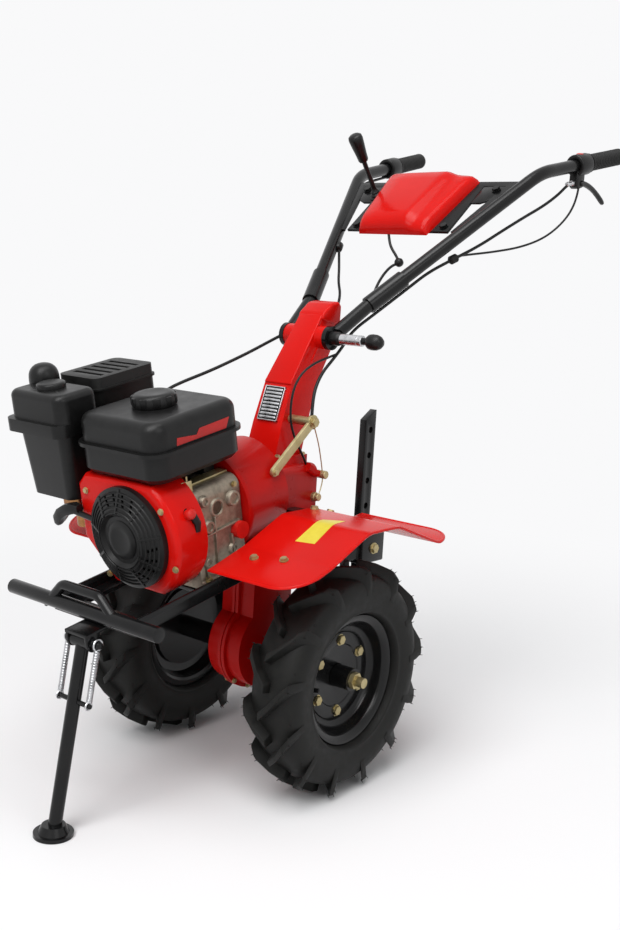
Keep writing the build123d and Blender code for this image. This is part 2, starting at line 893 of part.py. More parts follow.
def muffler():
    back = muffler_ahead - muffler_length / 2
    front = back + muffler_length
    left = muffler_width - muffler_right
    top = muffler_floor + muffler_height
    box = block(back, front, -muffler_right, left, muffler_floor, top)
    box = fillet(box.edges().filter_by(Axis.Z), muffler_corner)
    lip_top = top - muffler_lip_drop
    lip = block(
        back - muffler_lip,
        front + muffler_lip,
        -muffler_right - muffler_lip,
        left + muffler_lip,
        lip_top - muffler_lip,
        lip_top,
    )
    box += fillet(lip.edges().filter_by(Axis.Z), muffler_corner + muffler_lip)
    for louvre in range(louvre_count):
        x = muffler_ahead + louvre_pitch * (louvre - (louvre_count - 1) / 2)
        slot = Box(louvre_width, muffler_width - 2 * muffler_corner, 2 * louvre_depth)
        box -= Pos(x, left - muffler_width / 2, top) * slot
    pipe_y = muffler_corner + exhaust_radius + barrel_start - muffler_right
    pipe = rod((muffler_ahead, pipe_y, 0), (muffler_ahead, pipe_y, muffler_floor), exhaust_radius)
    return box + pipe - cylinder_head() - block(back, front, -muffler_right, 0, -barrel_start, muffler_floor / 2)


def carburettor():
    low = cup_floor - carb_height
    half = carb_width / 2
    body = block(barrel_front, barrel_front + carb_length, -carb_side - half, half - carb_side, low, cup_floor)
    x = barrel_front + carb_length / 2
    bowl = rod((x, -carb_side, low - bowl_height), (x, -carb_side, low), bowl_radius)
    return body + bowl - cylinder_head()


def governor_plate():
    low = governor_side - governor_width / 2
    high = governor_side + governor_width / 2
    plate = block(barrel_back, barrel_front, low, high, block_rise, block_rise + governor_sheet)
    arm = block(barrel_front - governor_sheet, barrel_front, low, high, block_rise, block_rise + governor_arm_height)
    return plate + arm - crankcase() - fuel_tank()


def oil_plug():
    start = (plug_ahead, block_half_width, -plug_drop)
    return rod(start, (plug_ahead, block_half_width + plug_length, -plug_drop), plug_radius)


def column():
    side = Polyline(
        (column_foot_front, seat_top),
        (0, seat_top + panel_low),
        (-panel_back, seat_top + panel_high),
        (-brow_back, seat_top + brow_rise),
        (-crest_back, seat_top + crest_rise),
        (-tail_back, seat_top + crest_rise),
        (-tail_back, seat_top + tail_rise),
        (-column_nape, seat_top + column_nape_rise),
        (-column_foot_back, seat_top),
        close=True,
    )
    half = [
        (column_foot_half, 0),
        (panel_half, panel_high),
        (column_head_half, brow_rise),
        (column_head_half, crest_rise),
    ]
    right = [(-y, seat_top + z) for y, z in reversed(half)]
    front = Polyline(*[(y, seat_top + z) for y, z in half], *right, close=True)
    body = side_prism(side, -column_foot_half, column_foot_half)
    body = body & cross_prism(front, -tail_back - 1, column_foot_front + 1)
    body += rod((hub_x, -hub_boss_half, hub_z), (hub_x, hub_boss_half, hub_z), hub_boss_radius)
    reach = hub_boss_half + 1
    return body - rod((hub_x, -reach, hub_z), (hub_x, reach, hub_z), lock_bolt_radius + run_gap)


def column_grille():
    low = Vector(0, 0, seat_top + panel_low)
    high = Vector(-panel_back, 0, seat_top + panel_high)
    rise = (high - low).normalized()
    face = Plane(origin=(low + high) * 0.5, x_dir=(0, 1, 0), z_dir=(rise.Z, 0, -rise.X))
    panel = face * Pos(0, 0, grille_sheet / 2) * Box(grille_width, grille_height, grille_sheet)
    for slat in range(slat_count):
        y = slat_pitch * (slat - (slat_count - 1) / 2)
        panel -= face * Pos(0, y, grille_sheet) * Box(grille_width - 2 * slat_gap, slat_gap, grille_sheet)
    return panel


def clutch_rocker():
    pivot = (-rocker_pivot_back, seat_top + rocker_pivot_rise)
    arm_length = math.hypot(rocker_reach, rocker_drop)
    across = Vector(rocker_drop, rocker_reach) * (rocker_half_depth / arm_length)
    tip = (pivot[0] + rocker_reach, pivot[1] - rocker_drop)
    corners = [
        (pivot[0] + across.X, pivot[1] + across.Y),
        (tip[0] + across.X, tip[1] + across.Y),
        (tip[0] - across.X, tip[1] - across.Y),
        (pivot[0] - across.X, pivot[1] - across.Y),
    ]
    outer = rocker_y + rocker_sheet
    plate = side_prism(Polyline(*corners, close=True), rocker_y, outer)
    plate += rod((pivot[0], rocker_y, pivot[1]), (pivot[0], outer, pivot[1]), rocker_eye_radius)
    plate += rod((tip[0], rocker_y, tip[1]), (tip[0], outer, tip[1]), rocker_half_depth)
    boss = rod((pivot[0], 0, pivot[1]), (pivot[0], rocker_y, pivot[1]), rocker_pivot_radius)
    return plate + boss - column() - upper_case()


def hitch_bracket():
    floor = hitch_top - hitch_height
    middle = hitch_top - hitch_height / 2
    drawbar = block(
        -hitch_back,
        -neck_back,
        -drawbar_half_width,
        drawbar_half_width,
        middle - drawbar_height / 2,
        middle + drawbar_height / 2,
    )
    back = -hitch_back - hitch_half_length
    socket = block(back, hitch_half_length - hitch_back, -hitch_half_width, hitch_half_width, floor, hitch_top)
    slot = block(
        -hitch_back - bar_width / 2 - slip_gap,
        -hitch_back + bar_width / 2 + slip_gap,
        -bar_thickness / 2 - slip_gap,
        bar_thickness / 2 + slip_gap,
        floor - 1,
        hitch_top + 1,
    )
    ribs = neck_block(casing_flange, -flange_seam / 2 - flange_thickness, flange_seam / 2 + flange_thickness)
    return drawbar + socket - slot - ribs


def hitch_pin():
    low = hitch_top - hitch_height / 2 + drawbar_height / 2
    high = low + hitch_pin_height
    shank = rod((-hitch_pin_back, 0, low), (-hitch_pin_back, 0, high), hitch_pin_radius)
    return shank + rod((-hitch_pin_back, 0, high), (-hitch_pin_back, 0, high + hitch_pin_cap), hitch_pin_head)


def depth_bar():
    front = bar_width / 2 - hitch_back
    back = -bar_width / 2 - hitch_back
    top = bar_clearance + bar_length
    outline = Polyline(
        (front, bar_clearance),
        (front, top - bar_chisel),
        (back, top),
        (back, bar_clearance),
        close=True,
    )
    bar = side_prism(outline, -bar_thickness / 2, bar_thickness / 2)
    for row in range(bar_hole_count):
        z = top - bar_hole_margin - bar_hole_pitch * row
        bar -= rod((-hitch_back, -bar_thickness, z), (-hitch_back, bar_thickness, z), bar_hole_radius)
    return bar


def handle_tube():
    eye_middle = (hub_x, eye_y, hub_z)
    points = [eye_middle, tuple(kink_point), tuple(bend_point), tuple(grip_point)]
    tube = bent_rod(points, bend_radius, tube_radius)
    socket_end = kink_point + (bend_point - kink_point).normalized() * socket_length
    socket = rod(tuple(kink_point), tuple(socket_end), socket_radius)
    eye = rod((hub_x, eye_y - eye_thickness / 2, hub_z), (hub_x, eye_outer, hub_z), eye_radius)
    bore = rod((hub_x, 0, hub_z), (hub_x, handle_half, hub_z), lock_bolt_radius)
    margin = 2 * eye_radius
    inner = hub_boss_half + slip_gap
    inside = block(hub_x - margin, hub_x + margin, -margin, inner, hub_z - margin, hub_z + margin)
    outside = rod((hub_x, eye_outer, hub_z), (hub_x, handle_half, hub_z), eye_radius - 4)
    return tube + socket + eye - bore - inside - outside


def grip():
    start = grip_point - grip_aim * grip_length
    return rod(tuple(start), tuple(grip_point + grip_aim * grip_cap), grip_radius) - handle_tube()


def control_collar():
    start = grip_point - grip_aim * (grip_length + collar_gap + collar_length)
    return rod(tuple(start), tuple(start + grip_aim * collar_length), collar_radius) - handle_tube()


def clutch_lever():
    start = grip_point - grip_aim * (grip_length + collar_gap + collar_length)
    x, y, z = start.X, start.Y, start.Z
    perch = side_prism(
        Polyline(
            (x, z),
            (x, z - lever_drop),
            (x - perch_length, z - lever_drop),
            (x - perch_length, z),
            close=True,
        ),
        y - lever_thickness,
        y + lever_thickness,
    )
    blade = side_prism(
        Polyline(
            (x, z - lever_drop + lever_depth),
            (x, z - lever_drop),
            (x - lever_length, z - lever_tip_drop),
            (x - lever_length, z - lever_tip_drop + lever_depth),
            (x - perch_length, z - lever_drop + lever_depth),
            close=True,
        ),
        y - lever_thickness / 2,
        y + lever_thickness / 2,
    )
    return perch + blade - handle_tube() - control_collar()


def console_half(x):
    low = kink_reach * handle_run / handle_reach
    return kink_half + (handle_half - kink_half) * (x - low) / (handle_run - low)


def console_plate():
    low, high = console_plate_low, console_plate_high
    half_low, half_high = console_half(low), console_half(high)
    outline = Polyline((low, half_low), (high, half_high), (high, -half_high), (low, -half_low), close=True)
    plate = extrude(handle_plane * make_face(outline), amount=console_sheet)
    edge = console_high_half + cutout_margin
    start = low + 3 * cutout_margin + (edge - half_low) * (high - low) / (half_high - half_low)
    end = high - cutout_margin
    cutout = Polyline((start, edge), (end, edge), (end, console_half(end) - 2 * cutout_margin), close=True)
    for side in (1, -1):
        hole = Pos(0, 0, -1) * extrude(make_face(cutout), amount=console_sheet + 2)
        plate -= handle_plane * (hole if side > 0 else mirrored(hole))
    return plate - handle_tube() - mirrored(handle_tube())


def console_cover():
    def outline(inset, height):
        low, high = console_low + inset, console_high - inset
        half_low, half_high = console_low_half - inset, console_high_half - inset
        points = [(low, half_low), (high, half_high), (high, -half_high), (low, -half_low)]
        return handle_plane.offset(height) * make_face(Polyline(*points, close=True))

    top = console_sheet + console_height
    hood = loft([outline(0, console_sheet), outline(console_draft, top)], ruled=True)
    step = block(
        console_low + 2 * console_draft,
        console_high - 2 * console_draft,
        2 * console_draft - console_low_half,
        2 * console_draft - console_low_half + console_step_width,
        top,
        top + console_step,
    )
    step = chamfer(step.faces().sort_by(Axis.Z)[-1].edges(), console_step / 2)
    return hood + handle_plane * step - handle_tube() - mirrored(handle_tube())


def shift_lever():
    stem_z = console_sheet + shift_rod_length / 2
    stem = Pos(shift_along, shift_side, stem_z) * Cylinder(shift_rod_radius, shift_rod_length)
    knob_z = console_sheet + shift_rod_length + shift_knob_length / 2
    knob = Pos(shift_along, shift_side, knob_z) * Cone(shift_knob_neck, shift_knob_radius, shift_knob_length)
    return handle_plane * (stem + knob)


def lock_bolt():
    sleeve_start = eye_outer + lock_neck_length
    shank = rod((hub_x, -eye_outer - lock_nut_length, hub_z), (hub_x, sleeve_start, hub_z), lock_bolt_radius)
    neck = rod((hub_x, eye_outer, hub_z), (hub_x, sleeve_start, hub_z), lock_neck_radius)
    sleeve = rod((hub_x, sleeve_start, hub_z), (hub_x, sleeve_start + lock_sleeve_length, hub_z), lock_sleeve_radius)
    nut = rod((hub_x, -eye_outer - lock_nut_length, hub_z), (hub_x, -eye_outer, hub_z), lock_nut_radius)
    return shank + neck + sleeve + nut


def lock_knob():
    start = eye_outer + lock_neck_length + lock_sleeve_length
    knob = Cylinder(lock_knob_radius, lock_knob_length)
    knob = chamfer(knob.edges().filter_by(GeomType.CIRCLE), lock_knob_radius / 4)
    return Pos(hub_x, start + lock_knob_length / 2, hub_z) * Rot(90, 0, 0) * knob


def clutch_cable_upper():
    return cable(clutch_upper, cable_radius) + cable(stop_upper, wire_radius) + rod(*tie_ends, tie_radius)


def clutch_cable_lower():
    pair = cable(clutch_lower, cable_radius) + cable(stop_lower, wire_radius)
    return pair - clutch_rocker() - upper_case()


def throttle_cable_lower():
    return cable(throttle_lower, cable_radius) - engine_place * cylinder_head()


def at_wheel(shape):
    return Pos(0, half_track, axle_z) * shape


at_axle = Pos(0, 0, axle_z)
nodes = {
    "axle_shaft": at_axle * axle_shaft(),
    "left_hub": at_axle * wheel_hub(),
    "left_rim": at_wheel(rim()),
    "left_tyre": at_wheel(tyre()),
    "lower_casing": lower_casing(),
    "upper_case": upper_case(),
    "engine_cradle": engine_cradle(),
    "front_bumper": engine_place * front_bumper(),
    "stand_bracket": engine_place * stand_bracket(),
    "stand_leg": stand_leg(),
    "stand_springs": stand_springs(),
    "stand_foot": stand_foot(),
    "left_fender": fender(),
    "left_fender_stay": fender_stay(),
    "crankcase": engine_place * crankcase(),
    "cylinder_head": engine_place * cylinder_head(),
    "fan_shroud": engine_place * fan_shroud(),
    "recoil_cover": engine_place * recoil_cover(),
    "pull_handle": engine_place * pull_handle(),
    "fuel_tank": engine_place * fuel_tank(),
    "tank_cap": engine_place * tank_cap(),
    "air_cleaner": engine_place * air_cleaner(),
    "muffler": engine_place * muffler(),
    "carburettor": engine_place * carburettor(),
    "governor_plate": engine_place * governor_plate(),
    "oil_plug": engine_place * oil_plug(),
    "handle_column": column(),
    "column_grille": column_grille(),
    "clutch_rocker": clutch_rocker(),
    "hitch_bracket": hitch_bracket(),
    "hitch_pin": hitch_pin(),
    "depth_bar": depth_bar(),
    "left_handle_tube": handle_tube(),
    "left_grip": grip(),
    "stop_switch": control_collar(),
    "throttle_control": mirrored(control_collar()),
    "clutch_lever": clutch_lever(),
    "console_plate": console_plate(),
    "console_cover": console_cover(),
    "shift_lever": shift_lever(),
    "lock_bolt": lock_bolt(),
    "lock_knob": lock_knob(),
    "clutch_cable_upper": clutch_cable_upper(),
    "clutch_cable_lower": clutch_cable_lower(),
    "throttle_cable_upper": cable(throttle_upper, cable_radius),
    "throttle_cable_lower": throttle_cable_lower(),
}
for name in ("hub", "rim", "tyre", "fender", "fender_stay", "handle_tube", "grip"):
    nodes["right_" + name] = mirrored(nodes["left_" + name])

os.makedirs("parts", exist_ok=True)
for name, shape in nodes.items():
    export_step(Pos(axle_x, 0, 0) * shape, f"parts/{name}.step")
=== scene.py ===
import json
import math

import bmesh
import bpy
from mathutils import Matrix, Vector
from mathutils.bvhtree import BVHTree

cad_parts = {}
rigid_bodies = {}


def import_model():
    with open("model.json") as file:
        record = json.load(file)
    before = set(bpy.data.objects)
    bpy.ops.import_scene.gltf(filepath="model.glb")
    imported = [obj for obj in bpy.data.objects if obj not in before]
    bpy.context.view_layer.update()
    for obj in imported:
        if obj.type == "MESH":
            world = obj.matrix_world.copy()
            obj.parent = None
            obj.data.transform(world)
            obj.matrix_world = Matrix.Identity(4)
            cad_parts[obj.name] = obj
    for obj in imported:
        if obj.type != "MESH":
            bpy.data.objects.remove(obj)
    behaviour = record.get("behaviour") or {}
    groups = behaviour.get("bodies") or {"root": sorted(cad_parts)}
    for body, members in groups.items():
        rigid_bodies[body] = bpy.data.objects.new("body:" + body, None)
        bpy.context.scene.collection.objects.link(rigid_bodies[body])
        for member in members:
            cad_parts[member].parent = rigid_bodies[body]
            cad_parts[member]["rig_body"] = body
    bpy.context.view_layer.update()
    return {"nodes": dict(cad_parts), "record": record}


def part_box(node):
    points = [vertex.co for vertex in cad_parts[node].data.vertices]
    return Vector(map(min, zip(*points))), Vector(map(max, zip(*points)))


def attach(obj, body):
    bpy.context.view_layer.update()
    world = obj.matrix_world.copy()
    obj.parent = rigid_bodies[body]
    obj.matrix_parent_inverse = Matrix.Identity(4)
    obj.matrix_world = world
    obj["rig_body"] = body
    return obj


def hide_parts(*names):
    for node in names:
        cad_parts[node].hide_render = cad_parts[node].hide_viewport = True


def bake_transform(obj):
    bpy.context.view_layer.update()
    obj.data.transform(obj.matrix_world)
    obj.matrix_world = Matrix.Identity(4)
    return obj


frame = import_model()
nodes = frame["nodes"]
print("frame loaded,", len(nodes), "nodes")

# directions of the machine, and the places that its pieces are set out from; sizes are in millimetres
forward = Vector((1, 0, 0))
leftward = Vector((0, 1, 0))
upward = Vector((0, 0, 1))
axleLow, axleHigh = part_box("axle_shaft")
axleSpot = (axleLow + axleHigh) / 2
engineSpot = dict(ahead=115, rise=299.5, pitch=11.5)
engineOffset = Vector((engineSpot["ahead"] / 1000, 0, engineSpot["rise"] / 1000))
engineTurn = Matrix.Rotation(math.radians(engineSpot["pitch"]), 4, "Y")
enginePlace = Matrix.Translation(axleSpot + engineOffset) @ engineTurn
hubSpot = (-106, 0, 788)
handleAlong = Vector((-0.78, 0, 0.6258))
handleUp = Vector((0.6258, 0, 0.78))


# millimetres ahead of the axle, left of the middle and above the floor
def fromAxle(x, y, z):
    return Vector((axleSpot.x + x / 1000, y / 1000, z / 1000))


# millimetres in the engine's own tilted frame
def onEngine(x, y, z):
    return enginePlace @ (Vector((x, y, z)) / 1000)


def engineAim(x, y, z):
    return engineTurn.to_3x3() @ Vector((x, y, z))


# millimetres up the handlebar from its hub, to the left and off its plane
def onHandle(along, side, up):
    return fromAxle(*hubSpot) + (handleAlong * along + handleUp * up) / 1000 + Vector((0, side / 1000, 0))


def linear(hexText):
    channels = [int(hexText[i:i + 2], 16) / 255 for i in (1, 3, 5)]
    return [c / 12.92 if c <= 0.04045 else ((c + 0.055) / 1.055) ** 2.4 for c in channels] + [1.0]


def addNode(tree, kind, inputs=(), links=(), **settings):
    node = tree.nodes.new(kind)
    for key, value in settings.items():
        setattr(node, key, value)
    for key, value in dict(inputs).items():
        node.inputs[key].default_value = value
    for key, (source, output) in dict(links).items():
        tree.links.new(source.outputs[output], node.inputs[key])
    return node


# a math node on one output and either a number or a second output
def mathNode(tree, operation, first, second):
    if isinstance(second, tuple):
        return addNode(tree, "ShaderNodeMath", links={0: first, 1: second}, operation=operation)
    return addNode(tree, "ShaderNodeMath", {1: second}, {0: first}, operation=operation)


finishForm = dict(toneSpan=(0.35, 0.65), glossSpan=(0.3, 0.7), coatRough=0.14, plainSpec=0.4)


# one finish: two close tones drifting over patchMm, gloss that follows them, a bump of grainMm grain
def finish(name, look):
    material = bpy.data.materials.new(name)
    material.use_nodes = True
    tree = material.node_tree
    tree.nodes.clear()
    out = addNode(tree, "ShaderNodeOutputMaterial")
    spot = addNode(tree, "ShaderNodeTexCoord")
    patch = addNode(tree, "ShaderNodeTexNoise",
                    {"Scale": 1000 / look["patchMm"], "Detail": 4.0, "Roughness": 0.6},
                    {"Vector": (spot, "Object")})
    tone = addNode(tree, "ShaderNodeValToRGB", links={"Fac": (patch, "Fac")})
    for end, position, shade in zip(tone.color_ramp.elements, finishForm["toneSpan"], ("dark", "light")):
        end.position = position
        end.color = linear(look[shade])
    low, high = finishForm["glossSpan"]
    smooth, dull = look["rough"]
    gloss = addNode(tree, "ShaderNodeMapRange",
                    {"From Min": low, "From Max": high, "To Min": smooth, "To Max": dull},
                    {"Value": (patch, "Fac")})
    grain = addNode(tree, "ShaderNodeTexNoise",
                    {"Scale": 1000 / look["grainMm"], "Detail": 3.0, "Roughness": 0.55},
                    {"Vector": (spot, "Object")})
    bump = addNode(tree, "ShaderNodeBump",
                   {"Strength": look["bump"], "Distance": look["grainMm"] / 2000},
                   {"Height": (grain, "Fac")})
    shader = addNode(tree, "ShaderNodeBsdfPrincipled",
                     {"Metallic": look.get("metallic", 0.0), "Coat Weight": look.get("coat", 0.0),
                      "Coat Roughness": finishForm["coatRough"],
                      "Specular IOR Level": look.get("spec", finishForm["plainSpec"])},
                     {"Base Color": (tone, "Color"), "Roughness": (gloss, "Result"),
                      "Normal": (bump, "Normal")})
    tree.links.new(shader.outputs["BSDF"], out.inputs["Surface"])
    return material


# stove enamel on pressed steel: soft gloss with a faint orange peel
redEnamel = finish("redEnamel", dict(
    dark="#c6100a", light="#cc120c", patchMm=90, grainMm=2.5, rough=(0.2, 0.27), bump=0.004,
    coat=0.06, spec=0.1))
# the same enamel over sand castings: the mould grain shows through
redCasting = finish("redCasting", dict(
    dark="#a80b07", light="#b20d09", patchMm=40, grainMm=1.6, rough=(0.26, 0.36), bump=0.06,
    coat=0.04, spec=0.1))
# powder coat on tube and plate: semi-gloss black, barely pebbled
blackCoat = finish("blackCoat", dict(
    dark="#0d0d0e", light="#131313", patchMm=40, grainMm=0.9, rough=(0.18, 0.28), bump=0.006,
    coat=0.03, spec=0.24))
# moulded ABS and polypropylene: dark grey-black, fine spark-eroded grain
mouldedBlack = finish("mouldedBlack", dict(
    dark="#101010", light="#161616", patchMm=25, grainMm=0.7, rough=(0.3, 0.4), bump=0.03, spec=0.24))
# heat-proof paint on the silencer: flatter than the coat
silencerPaint = finish("silencerPaint", dict(
    dark="#101010", light="#181817", patchMm=18, grainMm=0.8, rough=(0.4, 0.52), bump=0.08, spec=0.25))
# carbon-black tyre rubber: matt, dusty on the high parts
tyreRubber = finish("tyreRubber", dict(
    dark="#0d0d0c", light="#171715", patchMm=14, grainMm=1.2, rough=(0.5, 0.68), bump=0.15, spec=0.22))
# soft grip rubber: matt, a little greasy
gripRubber = finish("gripRubber", dict(
    dark="#0f0f0f", light="#161615", patchMm=12, grainMm=0.8, rough=(0.5, 0.65), bump=0.12, spec=0.25))
# die-cast aluminium: warm grey, fine grain, dull sheen
castAluminium = finish("castAluminium", dict(
    dark="#7d7467", light="#998f80", patchMm=9, grainMm=0.9, rough=(0.42, 0.6), bump=0.25, metallic=0.8))
# yellow-passivated zinc plate: gold to straw, drifting
zincPlate = finish("zincPlate", dict(
    dark="#a5976c", light="#bbae86", patchMm=24, grainMm=0.5, rough=(0.36, 0.5), bump=0.03, metallic=0.85))
# bright nickel or chrome plate on turned steel
brightPlate = finish("brightPlate", dict(
    dark="#b9babc", light="#d6d6d8", patchMm=12, grainMm=0.4, rough=(0.24, 0.36), bump=0.02, metallic=1.0))
# brass float bowl, dulled by fuel
fuelBrass = finish("fuelBrass", dict(
    dark="#8a5f3c", light="#b08050", patchMm=8, grainMm=0.6, rough=(0.3, 0.45), bump=0.06, metallic=1.0))
# red moulded caps and buttons
redCap = finish("redCap", dict(
    dark="#b5120e", light="#c41812", patchMm=12, grainMm=0.7, rough=(0.3, 0.4), bump=0.05))
# printed vinyl: a plain red stripe and a plain yellow patch, semi-gloss
redVinyl = finish("redVinyl", dict(
    dark="#b01410", light="#bb1813", patchMm=20, grainMm=0.5, rough=(0.3, 0.38), bump=0.02))
yellowVinyl = finish("yellowVinyl", dict(
    dark="#d3c235", light="#dccc45", patchMm=20, grainMm=0.5, rough=(0.3, 0.4), bump=0.02))
print("finishes made")

slotFinish = dict(
    red_paint=redEnamel, black_paint=blackCoat, cast_aluminium=castAluminium, zinc_plate=zincPlate,
    bright_steel=brightPlate, black_plastic=mouldedBlack, rubber=gripRubber, tyre_rubber=tyreRubber,
    red_plastic=redCap)
nodeFinish = dict(
    lower_casing=redCasting, upper_case=redCasting, muffler=silencerPaint, carburettor=fuelBrass)
slotOf = {part["node"]: part["material_slot"] for part in frame["record"]["subparts"]}


def finishOf(nodeName):
    return nodeFinish.get(nodeName, slotFinish[slotOf[nodeName]])


for nodeName, node in nodes.items():
    node.data.materials.clear()
    node.data.materials.append(finishOf(nodeName))


def linked(name, data):
    thing = bpy.data.objects.new(name, data)
    bpy.context.scene.collection.objects.link(thing)
    return thing


def bakedMesh(holder):
    bpy.context.view_layer.update()
    baked = bpy.data.meshes.new_from_object(holder.evaluated_get(bpy.context.evaluated_depsgraph_get()))
    bpy.data.objects.remove(holder)
    return baked


def dressed(name, mesh, slot, smoothAngle):
    piece = linked(name, mesh)
    mesh.materials.clear()
    mesh.materials.append(slot[1])
    for face in mesh.polygons:
        face.use_smooth = True
        face.material_index = 0
    mesh.set_sharp_from_angle(angle=math.radians(smoothAngle))
    return piece


def addPiece(name, mesh, body, slot, stands=(), smoothAngle=35):
    piece = dressed(name, mesh, slot, smoothAngle)
    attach(piece, body)
    if stands:
        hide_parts(*stands)
    return piece


redSlot = ("red_paint", redEnamel)
blackSlot = ("black_paint", blackCoat)
plasticSlot = ("black_plastic", mouldedBlack)
rubberSlot = ("rubber", gripRubber)
tyreSlot = ("tyre_rubber", tyreRubber)
zincSlot = ("zinc_plate", zincPlate)
brightSlot = ("bright_steel", brightPlate)
castSlot = ("cast_aluminium", castAluminium)
capSlot = ("red_plastic", redCap)


def closedMesh(name, verts, faces):
    form = bmesh.new()
    made = [form.verts.new(v) for v in verts]
    for face in faces:
        form.faces.new([made[i] for i in face])
    bmesh.ops.recalc_face_normals(form, faces=form.faces)
    mesh = bpy.data.meshes.new(name)
    form.to_mesh(mesh)
    form.free()
    return mesh


# side faces between neighbouring rings of count points; closed joins the last ring to the first
def ringFaces(rings, count, closed=False):
    faces = []
    for ring in range(rings if closed else rings - 1):
        after = (ring + 1) % rings
        for i in range(count):
            j = (i + 1) % count
            faces.append([ring * count + i, ring * count + j, after * count + j, after * count + i])
    return faces


def joined(name, meshes):
    form = bmesh.new()
    for mesh in meshes:
        form.from_mesh(mesh)
        bpy.data.meshes.remove(mesh)
    mesh = bpy.data.meshes.new(name)
    form.to_mesh(mesh)
    form.free()
    return mesh


# corners of an outline cut once or twice, so a few points give a rounded one
def eased(points, closed=False, rounds=2):
    for _ in range(rounds):
        pairs = list(zip(points, points[1:] + points[:1])) if closed else list(zip(points, points[1:]))
        cut = []
        for (a, b), (c, d) in pairs:
            cut += [(a * 0.75 + c * 0.25, b * 0.75 + d * 0.25), (a * 0.25 + c * 0.75, b * 0.25 + d * 0.75)]
        points = cut if closed else [points[0]] + cut[1:-1] + [points[-1]]
    return points


# a turned form: profile of (along, radius) in millimetres about a line from start
def lathed(name, profile, start, aim, steps=48):
    aim = aim.normalized()
    side = aim.orthogonal().normalized()
    other = aim.cross(side)
    verts = []
    rings = []
    for along, radius in profile:
        centre = start + aim * along / 1000
        if radius == 0:
            rings.append([len(verts)] * steps)
            verts.append(centre)
            continue
        rings.append(list(range(len(verts), len(verts) + steps)))
        for step in range(steps):
            angle = 2 * math.pi * step / steps
            verts.append(centre + (side * math.cos(angle) + other * math.sin(angle)) * radius / 1000)
    faces = []
    for low, high in zip(rings, rings[1:]):
        for step in range(steps):
            after = (step + 1) % steps
            corners = [low[step], low[after], high[after], high[step]]
            faces.append(list(dict.fromkeys(corners)))
    for ring in (rings[0], rings[-1]):
        if len(set(ring)) > 2:
            faces.append(ring)
    return closedMesh(name, verts, faces)


# a ring about the axle's direction: closed profile of (across, radius) in millimetres
def turnedLoop(name, profile, steps, centre):
    verts = []
    for step in range(steps):
        angle = 2 * math.pi * step / steps
        for across, radius in profile:
            spoke = Vector((radius * math.sin(angle), across, -radius * math.cos(angle)))
            verts.append(centre + spoke / 1000)
    return closedMesh(name, verts, ringFaces(steps, len(profile), True))


# a plate: outline in the plane of two directions, from low to high along their normal
def slab(name, outline, low, high, origin, acrossAim, upAim):
    normal = acrossAim.cross(upAim)
    verts = []
    for level in (low, high):
        verts += [origin + (acrossAim * u + upAim * v + normal * level) / 1000 for u, v in outline]
    count = len(outline)
    faces = [list(range(count)), list(range(count, 2 * count))]
    return closedMesh(name, verts, faces + ringFaces(2, count))


def bevelled(mesh, widthMm, segments=2, angle=30):
    holder = linked(mesh.name + "Blank", mesh)
    edges = holder.modifiers.new("edges", "BEVEL")
    edges.width = widthMm / 1000
    edges.segments = segments
    edges.limit_method = "ANGLE"
    edges.angle_limit = math.radians(angle)
    return bakedMesh(holder)


# where a line straight down meets a node, with the outward direction there
def surfaceBelow(nodeName, x, y):
    mesh = nodes[nodeName].data
    skin = BVHTree.FromPolygons([v.co for v in mesh.vertices],
                                [list(face.vertices) for face in mesh.polygons])
    place, normal = skin.ray_cast(fromAxle(x, y, 1000), -upward)[:2]
    return place, normal


# a round bar along control points, as a smooth spline
def cableMesh(name, points, radiusMm, sides=3):
    curve = bpy.data.curves.new(name, "CURVE")
    curve.dimensions = "3D"
    curve.bevel_depth = radiusMm / 1000
    curve.bevel_resolution = sides
    curve.use_fill_caps = True
    curve.resolution_u = 8
    spline = curve.splines.new("NURBS")
    spline.points.add(len(points) - 1)
    for target, point in zip(spline.points, points):
        target.co = (*point, 1.0)
    spline.order_u = 3
    spline.use_endpoint_u = True
    return bakedMesh(linked(name + "Line", curve))


# camera at the photograph's viewing angle, in metres from the axle and the floor
photoView = dict(place=(1.5557, 1.3549, 0.8915), yaw=218.77, pitch=-9.16, roll=3.37, lens=44.42, sensor=36)


def placeCamera():
    yaw, pitch, roll = (math.radians(photoView[key]) for key in ("yaw", "pitch", "roll"))
    ahead = Vector((math.cos(pitch) * math.cos(yaw), math.cos(pitch) * math.sin(yaw), math.sin(pitch)))
    level = ahead.cross(upward).normalized()
    upright = level.cross(ahead)
    right = math.cos(roll) * level + math.sin(roll) * upright
    up = math.cos(roll) * upright - math.sin(roll) * level
    lens = bpy.data.cameras.new("photoCamera")
    lens.lens = photoView["lens"]
    lens.sensor_width = photoView["sensor"]
    camera = linked("photoCamera", lens)
    turn = Matrix((right, up, -ahead)).transposed()
    place = Vector(photoView["place"]) + Vector((axleSpot.x, 0, 0))
    camera.matrix_world = Matrix.Translation(place) @ turn.to_4x4()
    bpy.context.scene.camera = camera


placeCamera()

